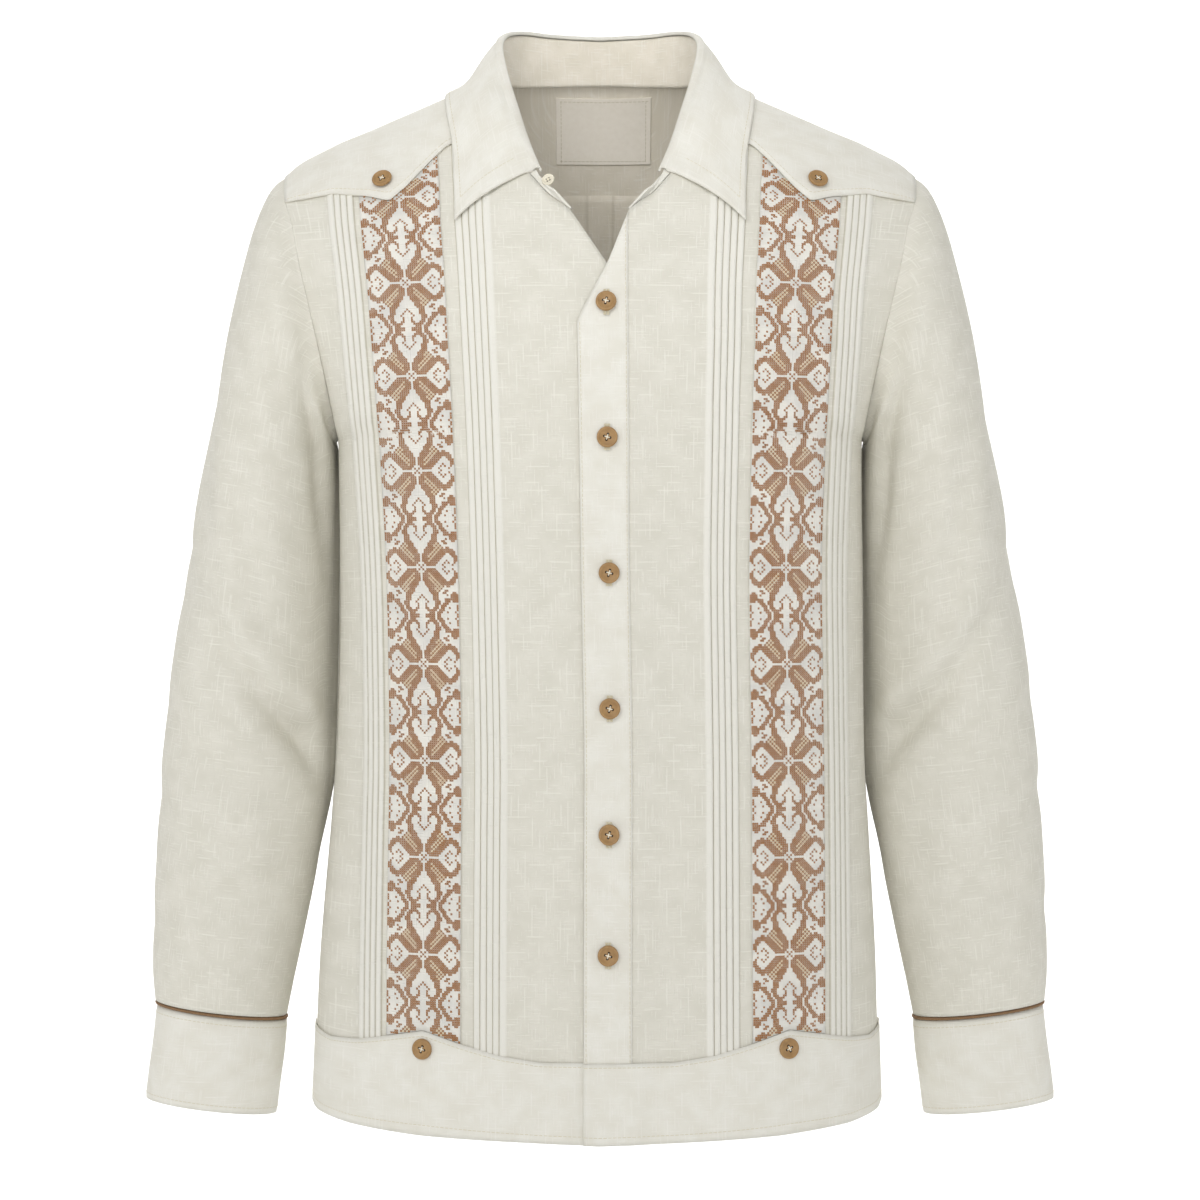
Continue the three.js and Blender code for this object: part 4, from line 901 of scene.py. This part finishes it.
sc = np.linspace(-1, 1, int(110 * detail))
fold, edge, foot = collarAt(sc, 1), collarAt(sc, 4), neckPoint(sc)
inward = fold - edge
inward[:, 2] = 0
inward /= np.linalg.norm(inward, axis=1, keepdims=True)
flat = foot * [1, 1, 0] + [0, 10, 0]
flat /= np.linalg.norm(flat, axis=1, keepdims=True)
foot = foot - flat * 1.1 + [0, 0, 0.3]
topS = fold - inward * 2.3 + [0, 0, -2.5]
t = np.linspace(0, 1, int(16 * detail))[:, None, None]
standGrid = foot[None] * (1 - t) + topS[None] * t
nStand = gridNormals(standGrid, False)
outwardStand = float(np.sum(nStand * ((standGrid - [0, 5, 0]) * [1, 1, 0]))) > 0
if not outwardStand:
    nStand = -nStand
# Painted shade: the stand darkens slightly at its foot, along the neckline seam.
toneStand = np.broadcast_to(1 - 0.04 * np.exp(-(t[..., 0] / 0.05) ** 2), standGrid.shape[:2])
uvStand = np.stack([np.broadcast_to(sc * 255, standGrid.shape[:2]), standGrid[..., 2]], -1)
made["collar_stand"] = shellMesh(
    "cloth_collar_stand", standGrid, nStand, -1.5, 0.0, doubleLinen, uvStand, toneStand, not outwardStand,
    inside=insideLinenPaintedLight)

sf = np.linspace(-collarLook["reach"], collarLook["reach"], int(120 * detail))
fold, edge = collarAt(sf * 0.96, 1), collarAt(sf, 4)
out = edge - fold
out[:, 2] = 0
out /= np.linalg.norm(out, axis=1, keepdims=True)
rows = [fold - out * 0.8 + [0, 0, -0.6 - drop] for drop in (1.4, 0.7)]
corner = np.exp(-((np.abs(sf) - 0.76) / 0.11) ** 2)[:, None]
roll = collarLook["roll"] * corner * [0, -0.86, 0.5]  # fuller over the yoke's neck corner
for a in np.linspace(0, 1, 7):
    turn = math.pi * a
    over = np.array([0, 0, -0.6 + 2.2 * math.sin(turn) - 1.2 * a])
    rows.append(fold + out * (2.3 - 3.1 * math.cos(turn)) + over + roll * a)
start = rows[-1]
for a in np.linspace(0, 1, int(26 * detail))[1:]:
    bulge = collarLook["bulge"] * a * (1 - a)
    rows.append(start * (1 - a) + edge * a + out * bulge + np.array([0, 0, bulge]))
fallGrid = np.array(rows)


# Outer faces of a grid, wound so that they face outwards.
def treeOf(p, n, lift):
    q = p + n * lift
    rows, cols = q.shape[:2]
    ids = np.arange(rows * cols).reshape(rows, cols)
    quads = np.stack([ids[:-1, :-1], ids[1:, :-1], ids[1:, 1:], ids[:-1, 1:]], -1).reshape(-1, 4)
    flat = q.reshape(-1, 3)
    crossed = np.cross(flat[quads[:, 1]] - flat[quads[:, 0]], flat[quads[:, 3]] - flat[quads[:, 0]])
    turned = np.einsum("ij,ij->i", crossed, n.reshape(-1, 3)[quads[:, 0]])
    quads[turned < 0] = quads[turned < 0][:, ::-1]
    return BVHTree.FromPolygons(flat.tolist(), quads.tolist())


# Grid points from one row on moved out until they clear each layer by its gap.
def pushClear(grid, first, layers):
    for i in range(first, grid.shape[0]):
        for j in range(grid.shape[1]):
            for tree, gap in layers:
                spot, normal, _, away = tree.find_nearest(Vector(grid[i, j]))
                if spot is None or away > 25:
                    continue
                offset = Vector(grid[i, j]) - spot
                height = offset.dot(normal)
                if (offset - normal * height).length > 1.5:
                    if offset.length < gap:
                        grid[i, j] += np.array(offset.normalized()) * (gap - offset.length)
                elif height < gap:
                    grid[i, j] += np.array(normal) * (gap - height)


layers = [(treeOf(*yokeOuter, 2.3), collarLook["yokeGap"])]
layers += [(treeOf(*outer), collarLook["frontGap"]) for outer in frontOuter.values()]
layers.append((treeOf(standGrid, nStand, 0), collarLook["standGap"]))
# The leaf is pushed clear a little at a time, and its push is evened out so that its edges stay smooth.
relaxed = fallGrid.copy()
freedom = np.clip((np.arange(len(fallGrid)) - 8) / 1.3, 0, 1)[:, None, None]  # the fold itself stays put
for _ in range(7):
    pushClear(fallGrid, 9, [(tree, gap + 0.5) for tree, gap in layers])
    moved = fallGrid - relaxed
    for _ in range(4):
        wide = np.pad(moved, ((1, 1), (1, 1), (0, 0)), mode="edge")
        eased = 0.5 * moved + 0.125 * (wide[:-2, 1:-1] + wide[2:, 1:-1] + wide[1:-1, :-2] + wide[1:-1, 2:])
        moved = eased * freedom
        moved[:13, :, 0] = np.clip(moved[:13, :, 0], -1, 1)
    fallGrid = relaxed + moved
pushClear(fallGrid, 11, [(tree, gap - 0.5) for tree, gap in layers])
nFall = gridNormals(fallGrid, True)
down = np.arange(len(fallGrid))[:, None] * 2.2
uvFall = np.stack(np.broadcast_arrays(sf * 255, down), -1)
made["collar_fall"] = shellMesh(
    "cloth_collar_fall", fallGrid, nFall, -1.4, 0.0, doubleLinen, uvFall, None, True)
print("collar ready")

# Blank label inside the back yoke.
labelLook = {"color": "FFF9EE", "weft": "F4EDE0", "left": -32, "right": 37, "top": -1.5, "foot": -46}
# Woven satin tape: a flat pale patch with a faint fleck of its weft.
labelFinish = plainMaterial("satin label tape", labelLook["color"], 0.5, labelLook["weft"], 300)
xl, zl = np.meshgrid(np.linspace(labelLook["left"], labelLook["right"], 20),
                     np.linspace(labelLook["top"], labelLook["foot"], 12))
labelGrid = onBack(xl, zl)
nLabel = gridNormals(labelGrid, True)
made["label"] = shellMesh("cloth_label", labelGrid, nLabel, -0.3, 0.35, labelFinish, flip=True)
made["label"].data.polygons.foreach_set("use_smooth", [False] * len(made["label"].data.polygons))

# Buttons: turned disc with rim, dish, four holes and crossed thread. Sizes are diameter and thickness.
buttonLook = {"color": "B4905F", "dark": "8A6840", "thread": "EDE6D2", "hole": "3A2A1C",
              "front": (14, 2.6), "cuff": (11, 2.4), "stand": (9, 2)}
# Waxed coconut wood: warm brown with darker flecks of grain and a low shine on the rim.
woodFinish = plainMaterial(
    "lathe-turned coconut wood, waxed", buttonLook["color"], 0.42, buttonLook["dark"], 260, 0.4)
# A drilled hole lies in its own shade, so it is plain dark brown.
holeFinish = plainMaterial("drilled hole in shade", buttonLook["hole"], 0.9)
# Cotton thread: pale, matt bars that cross between the holes.
buttonThread = plainMaterial("cotton button thread", buttonLook["thread"], 0.7)
# Cast resin: milky and smooth, with a clear highlight.
resinFinish = plainMaterial("cast resin button, milky", "E6E0CF", 0.25, "DAD2BC", 200, 0.5)


# A closed body of revolution from radius and height pairs.
def latheMesh(name, profile, segments, material):
    verts, faces = [], []
    for r, z in profile:
        for k in range(segments):
            a = 2 * math.pi * k / segments
            verts.append((r * math.cos(a) * mm, r * math.sin(a) * mm, z * mm))
    rings = len(profile)
    for i in range(rings - 1):
        for k in range(segments):
            n = (k + 1) % segments
            faces.append((i * segments + k, i * segments + n, (i + 1) * segments + n, (i + 1) * segments + k))
    faces.append(tuple(range(segments))[::-1])
    faces.append(tuple((rings - 1) * segments + k for k in range(segments)))
    mesh = bpy.data.meshes.new(name)
    mesh.from_pydata(verts, [], faces)
    mesh.polygons.foreach_set("use_smooth", [True] * len(mesh.polygons))
    mesh.materials.append(material)
    return mesh


# A button set where its solid is, facing the same way.
def addButton(node, diameter, thick):
    solid = solids[node]
    pts = np.array([solid.matrix_world @ v.co for v in solid.data.vertices])
    centre = pts.mean(0)
    _, _, axes = np.linalg.svd(pts - centre)
    facing = axes[2]
    middle = np.sign(centre[0]) * 0.272 if "cuff" in node else 0  # of the torso or of the cuff
    if facing.dot(centre - np.array([middle, 0, centre[2]])) < 0:
        facing = -facing
    base = centre - facing * (thick * 0.5) * mm
    r = diameter / 2
    turned = [(0.9, 0), (1, 0.3), (0.99, 0.7), (0.93, 0.95), (0.85, 1), (0.76, 0.93), (0.68, 0.72),
              (0.3, 0.66)]
    profile = [(r * a, thick * b) for a, b in turned] + [(0.01, thick * 0.66)]
    turn = Vector((0, 0, 1)).rotation_difference(Vector(facing)).to_matrix().to_4x4()
    spin = Matrix.Rotation(0.13 * (len(node) % 5), 4, "Z")
    place = Matrix.Translation(Vector(base)) @ turn @ spin
    finish = resinFinish if node == "button_stand" else woodFinish
    parts = [(latheMesh("disc", profile, 40, finish), Matrix.Identity(4))]
    gap = r * 0.2
    for a in (-1, 1):
        for b in (-1, 1):
            hole = latheMesh("hole", [(r * 0.13, 0), (r * 0.13, 0.06)], 12, holeFinish)
            parts.append((hole, Matrix.Translation((a * gap * mm, b * gap * mm, thick * 0.67 * mm))))
    for angle in (45, 135):
        strand = [(r * 0.055, -gap * 1.35), (r * 0.062, 0), (r * 0.055, gap * 1.35)]
        bar = latheMesh("bar", strand, 8, buttonThread)
        level = Matrix.Rotation(math.radians(angle), 4, "Z") @ Matrix.Rotation(math.pi / 2, 4, "Y")
        parts.append((bar, Matrix.Translation((0, 0, thick * 0.74 * mm)) @ level))
    bm = bmesh.new()
    materials = []
    for mesh, where in parts:
        if mesh.materials[0] not in materials:
            materials.append(mesh.materials[0])
        slot = materials.index(mesh.materials[0])
        mesh.transform(place @ where)
        count = len(bm.faces)
        bm.from_mesh(mesh)
        bm.faces.ensure_lookup_table()
        for face in bm.faces[count:]:
            face.material_index = slot
            face.smooth = True
    done = bpy.data.meshes.new(node)
    bm.to_mesh(done)
    bm.free()
    for material in materials:
        done.materials.append(material)
    return addPiece("wood_" + node, done)


solids = {}
for item in bpy.data.objects:
    if "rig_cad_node" in item:
        solids[item["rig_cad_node"] if isinstance(item["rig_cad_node"], str) else item.name] = item
for node in [name for name in solids if name.startswith("button")]:
    kind = next((kind for kind in ("stand", "cuff") if kind in node), "front")
    made[node] = addButton(node, *buttonLook[kind])
print("buttons ready")

# Topstitching and buttonholes, set along the pieces by the same instancing tree.
topStitch = {"pitch": 3.2, "length": 2.3, "thick": 0.42, "color": "D9D2BC"}
buttonholes = {"half": 8.5, "across": 1.05, "stitches": 44,
               "at": [(4.3, -169), (4.7, -259), (6, -349), (6.4, -439), (6, -523), (5.4, -603)]}
# Spun polyester: a dull thread a shade darker than the cloth, so that each stitch reads as a small dash.
sewingThread = plainMaterial("polyester sewing thread", topStitch["color"], 0.7, "CFC7AF", 700)


# Points and facings along one row or column of a piece's outer face.
def pathOn(host, rowShare=None, colShare=None, span=(0, 1)):
    p, n = surfaces["cloth_" + host]
    rows, cols = p.shape[:2]
    if rowShare is not None:
        at = np.linspace(span[0], span[1], 400) * (cols - 1)
        i, j = np.full(400, rowShare * (rows - 1)), at
    else:
        at = np.linspace(span[0], span[1], 400) * (rows - 1)
        i, j = at, np.full(400, colShare * (cols - 1))
    i0, j0 = np.clip(i.astype(int), 0, rows - 2), np.clip(j.astype(int), 0, cols - 2)
    u, v = (i - i0)[:, None], (j - j0)[:, None]

    def pick(g):
        return (g[i0, j0] * (1 - u) * (1 - v) + g[i0 + 1, j0] * u * (1 - v)
                + g[i0, j0 + 1] * (1 - u) * v + g[i0 + 1, j0 + 1] * u * v)

    return pick(p), pick(n)


# One row of stitches along a piece, kept for its host until all are made.
def stitchRow(host, rowShare=None, colShare=None, span=(0, 1)):
    path, facing = pathOn(host, rowShare, colShare, span)
    run = np.concatenate([[0], np.cumsum(np.linalg.norm(np.diff(path, axis=0), axis=1))])
    at = np.arange(topStitch["pitch"] / 2, run[-1], topStitch["pitch"])
    if len(at) < 2:
        return
    points = np.stack([np.interp(at, run, path[:, k]) for k in range(3)], -1)
    normals = np.stack([np.interp(at, run, facing[:, k]) for k in range(3)], -1)
    ahead = np.stack([np.interp(at + 0.5, run, path[:, k]) for k in range(3)], -1) - points
    ahead /= np.maximum(np.linalg.norm(ahead, axis=1, keepdims=True), 1e-6)
    rowsOf.setdefault(host, []).append((points + normals * 0.02, normals, ahead))


# One stitch of sewing thread, sunk at both ends.
def dashMesh(length, wide, proud):
    verts = []
    for x, h in ((-0.5, 0), (-0.3, 0.9), (0.3, 0.9), (0.5, 0)):
        for y, k in ((-0.5, 0), (0, 1), (0.5, 0)):
            verts.append((x * length * mm, y * wide * mm, h * k * proud * mm))
    faces = [(3 * a + b, 3 * a + 3 + b, 3 * a + 4 + b, 3 * a + 1 + b) for a in range(3) for b in range(2)]
    mesh = bpy.data.meshes.new("dash")
    mesh.from_pydata(verts, [], faces)
    return addPiece("dash", mesh)


rowsOf = {}
flapShare = (len(shoulderShare) - 1) / (grid.shape[1] - 1)
yokeRow = 0.9 / (grid.shape[0] - 1)
for word in ("left", "right"):
    for share in (0.07, 0.93):
        stitchRow("cuff_" + word, share)
    for share in (0.05, 0.9):
        stitchRow("hem_band_front_" + word, share)
for share in (0.07, 0.9):
    stitchRow("hem_band_back", share)
for share in (0.05, 0.95):
    stitchRow("placket", colShare=share, span=(0.004, 0.996))
    stitchRow("label", rowShare=share, span=(0.03, 0.97))
    stitchRow("label", colShare=share, span=(0.04, 0.96))
stitchRow("yoke", yokeRow, span=(0.004, flapShare))
stitchRow("yoke", yokeRow, span=(1 - flapShare, 0.996))
stitchRow("yoke", 1 - 0.8 / (grid.shape[0] - 1))
stitchRow("collar_fall", 0.92, span=(0.03, 0.97))
for share in (0.03, 0.97):
    stitchRow("collar_fall", colShare=share, span=(0.35, 0.92))
dash = dashMesh(topStitch["length"], topStitch["thick"], 0.22)
for host, pieces in rowsOf.items():
    points, normals, ahead = (np.concatenate([piece[k] for piece in pieces]) for k in range(3))
    if host == "label":
        points = points - normals * 0.72
        normals = -normals
    made["stitches_sewn_" + host] = scatter(
        "sewn_" + host, points, normals, ahead, dash, sewingThread, 0.05)
bpy.data.objects.remove(dash, do_unlink=True)
print("topstitching ready")


# Worked buttonhole: two rows of close stitches along an upright slit, seen past the button.
def buttonholeAt(name, x, z):
    dash = dashMesh(1.9, 0.42, 0.3)
    points, normals, ahead = [], [], []
    for k in np.linspace(-buttonholes["half"], buttonholes["half"], buttonholes["stitches"]):
        for across in (-buttonholes["across"], buttonholes["across"]):
            px, pz = x + across, z + k
            spot = onFront(np.array([px]), np.array([pz]))[0]
            c = onFront(np.array([px + 0.5, px]), np.array([pz, pz + 0.5])) - spot
            normal = np.cross(c[0], c[1])
            normal /= np.linalg.norm(normal)
            normal *= -np.sign(normal[1])
            lift = 2.95 + float(leftLift(np.array(abs(px))))
            points.append(spot + normal * (lift + float(drape(np.array(px), np.array(pz)))))
            normals.append(normal)
            ahead.append((1, 0, 0))
    points, normals, ahead = (np.array(values, float) for values in (points, normals, ahead))
    piece = scatter(name, points, normals, ahead, dash, sewingThread, 0.06)
    bpy.data.objects.remove(dash, do_unlink=True)
    return piece


for k, (x, z) in enumerate(buttonholes["at"]):
    made[f"stitches_hole_{k + 1}"] = buttonholeAt(f"buttonhole_{k + 1}", x, z)
for key, item in made.items():
    if key.startswith(("stitches_sewn", "stitches_hole")):
        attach(item, "root")
print("buttonholes ready")

# Attach every piece to the root body and hide its CAD part.
for node, item in made.items():
    if node.startswith("stitches"):
        continue
    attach(item, "root")
    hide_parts(node)


# Area of one face of a two-faced sheet.
def clothArea(item):
    return sum(face.area for face in item.data.polygons) / 2


# Width and length of each cut in metres, and how much of that rectangle it fills.
cutSizes = {
    "front_left": (0.345, 0.66, 0.82), "front_right": (0.345, 0.66, 0.82), "back": (0.56, 0.65, 0.92),
    "placket": (0.034, 0.59, 1), "embroidery_left": (0.05, 0.61, 1), "embroidery_right": (0.05, 0.61, 1),
    "hem_band_front_left": (0.26, 0.075, 0.84), "hem_band_front_right": (0.27, 0.075, 0.84),
    "hem_band_back": (0.53, 0.065, 0.95), "yoke": (0.50, 0.24, 0.6), "sleeve_left": (0.41, 0.56, 0.78),
    "sleeve_right": (0.41, 0.56, 0.78), "cuff_left": (0.27, 0.07, 1), "cuff_right": (0.27, 0.07, 1),
    "collar_stand": (0.44, 0.036, 0.78), "collar_fall": (0.47, 0.085, 0.85), "label": (0.069, 0.045, 1),
}
cuts = {
    "front_left": ("hung", ["yoke"]), "front_right": ("hung", ["yoke"]), "back": ("hung", ["yoke"]),
    "placket": ("hung", ["front_left"]), "embroidery_left": ("hung", ["front_left"]),
    "embroidery_right": ("hung", ["front_right"]), "hem_band_front_left": ("hung", ["front_left"]),
    "hem_band_front_right": ("hung", ["front_right"]), "hem_band_back": ("hung", ["back"]),
    "yoke": ("draped", []), "sleeve_left": ("hung", ["yoke"]), "sleeve_right": ("hung", ["yoke"]),
    "cuff_left": ("hung", ["sleeve_left"]), "cuff_right": ("hung", ["sleeve_right"]),
    "collar_stand": ("draped", ["yoke"]), "collar_fall": ("folded", ["collar_stand"]),
    "label": ("hung", ["yoke"]),
}
for node, (held, rests) in cuts.items():
    area = clothArea(made[node])
    width, length, share = cutSizes[node]
    print("area", node, round(area, 5), round(area / (width * length * share), 3))

# Stage: pale floor and backdrop in one sweep, soft light.
stage = {"floor": -1.0, "wall": 4.0, "bend": 0.8, "reach": 9.0, "top": 5.0}  # metres
profile = [(-stage["reach"], stage["floor"])]
for a in np.linspace(0, math.pi / 2, 16):
    profile.append((stage["wall"] - stage["bend"] + stage["bend"] * math.sin(a),
                    stage["floor"] + stage["bend"] - stage["bend"] * math.cos(a)))
profile.append((stage["wall"], stage["top"]))
verts = [(x, y, z) for y, z in profile for x in (-stage["reach"], stage["reach"])]
sweep = bpy.data.meshes.new("sweep")
sweep.from_pydata(verts, [], [(2 * k, 2 * k + 1, 2 * k + 3, 2 * k + 2) for k in range(len(profile) - 1)])
sweep.polygons.foreach_set("use_smooth", [True] * len(sweep.polygons))
# Matt paper: no shine at all, so the backdrop stays even.
sweep.materials.append(plainMaterial("matt white paper sweep", "F4F4F3", 0.95, specular=0.0))
addPiece("backdrop", sweep)

world = bpy.data.worlds.new("studio")
bpy.context.scene.world = world
world.use_nodes = True
world.node_tree.nodes["Background"].inputs[0].default_value = (1, 1, 1, 1)
world.node_tree.nodes["Background"].inputs[1].default_value = 0.55


# A softbox of a size in metres and a power in watts, aimed at a target.
def addLight(name, size, power, place, target, beam=180):
    data = bpy.data.lights.new(name, "AREA")
    data.shape = "RECTANGLE"
    data.size, data.size_y = size
    data.energy = power
    data.spread = math.radians(beam)
    item = addPiece(name, data)
    item.location = place
    item.visible_camera = False
    item.rotation_euler = (Vector(target) - Vector(place)).to_track_quat("-Z", "Y").to_euler()


addLight("key softbox", (1.0, 1.2), 11, (-1.0, -2.0, 0.65), (0, 0, -0.4))
addLight("front softbox", (1.6, 1.2), 12, (0.3, -2.4, -0.75), (0, 0, -0.45))
for side in (-1, 1):
    addLight("side softbox", (0.6, 1.4), 3, (side * 2.0, -0.9, -0.4), (side * 0.25, 0, -0.4))
addLight("neck softbox", (0.35, 0.3), 0.22, (0, -1.0, 0.55), (0, 0.1, -0.1), 45)
addLight("backdrop wash", (4.0, 1.2), 160, (0, 2.4, 2.6), (0, 4.0, -0.3))

cameraData = bpy.data.cameras.new("camera")
cameraData.lens = 85
cameraData.sensor_width = 36
camera = addPiece("camera", cameraData)
camera.location = (0, -2.0, -0.367)
camera.rotation_euler = (math.pi / 2, 0, 0)
bpy.context.scene.camera = camera
bpy.context.scene.view_settings.view_transform = "Standard"
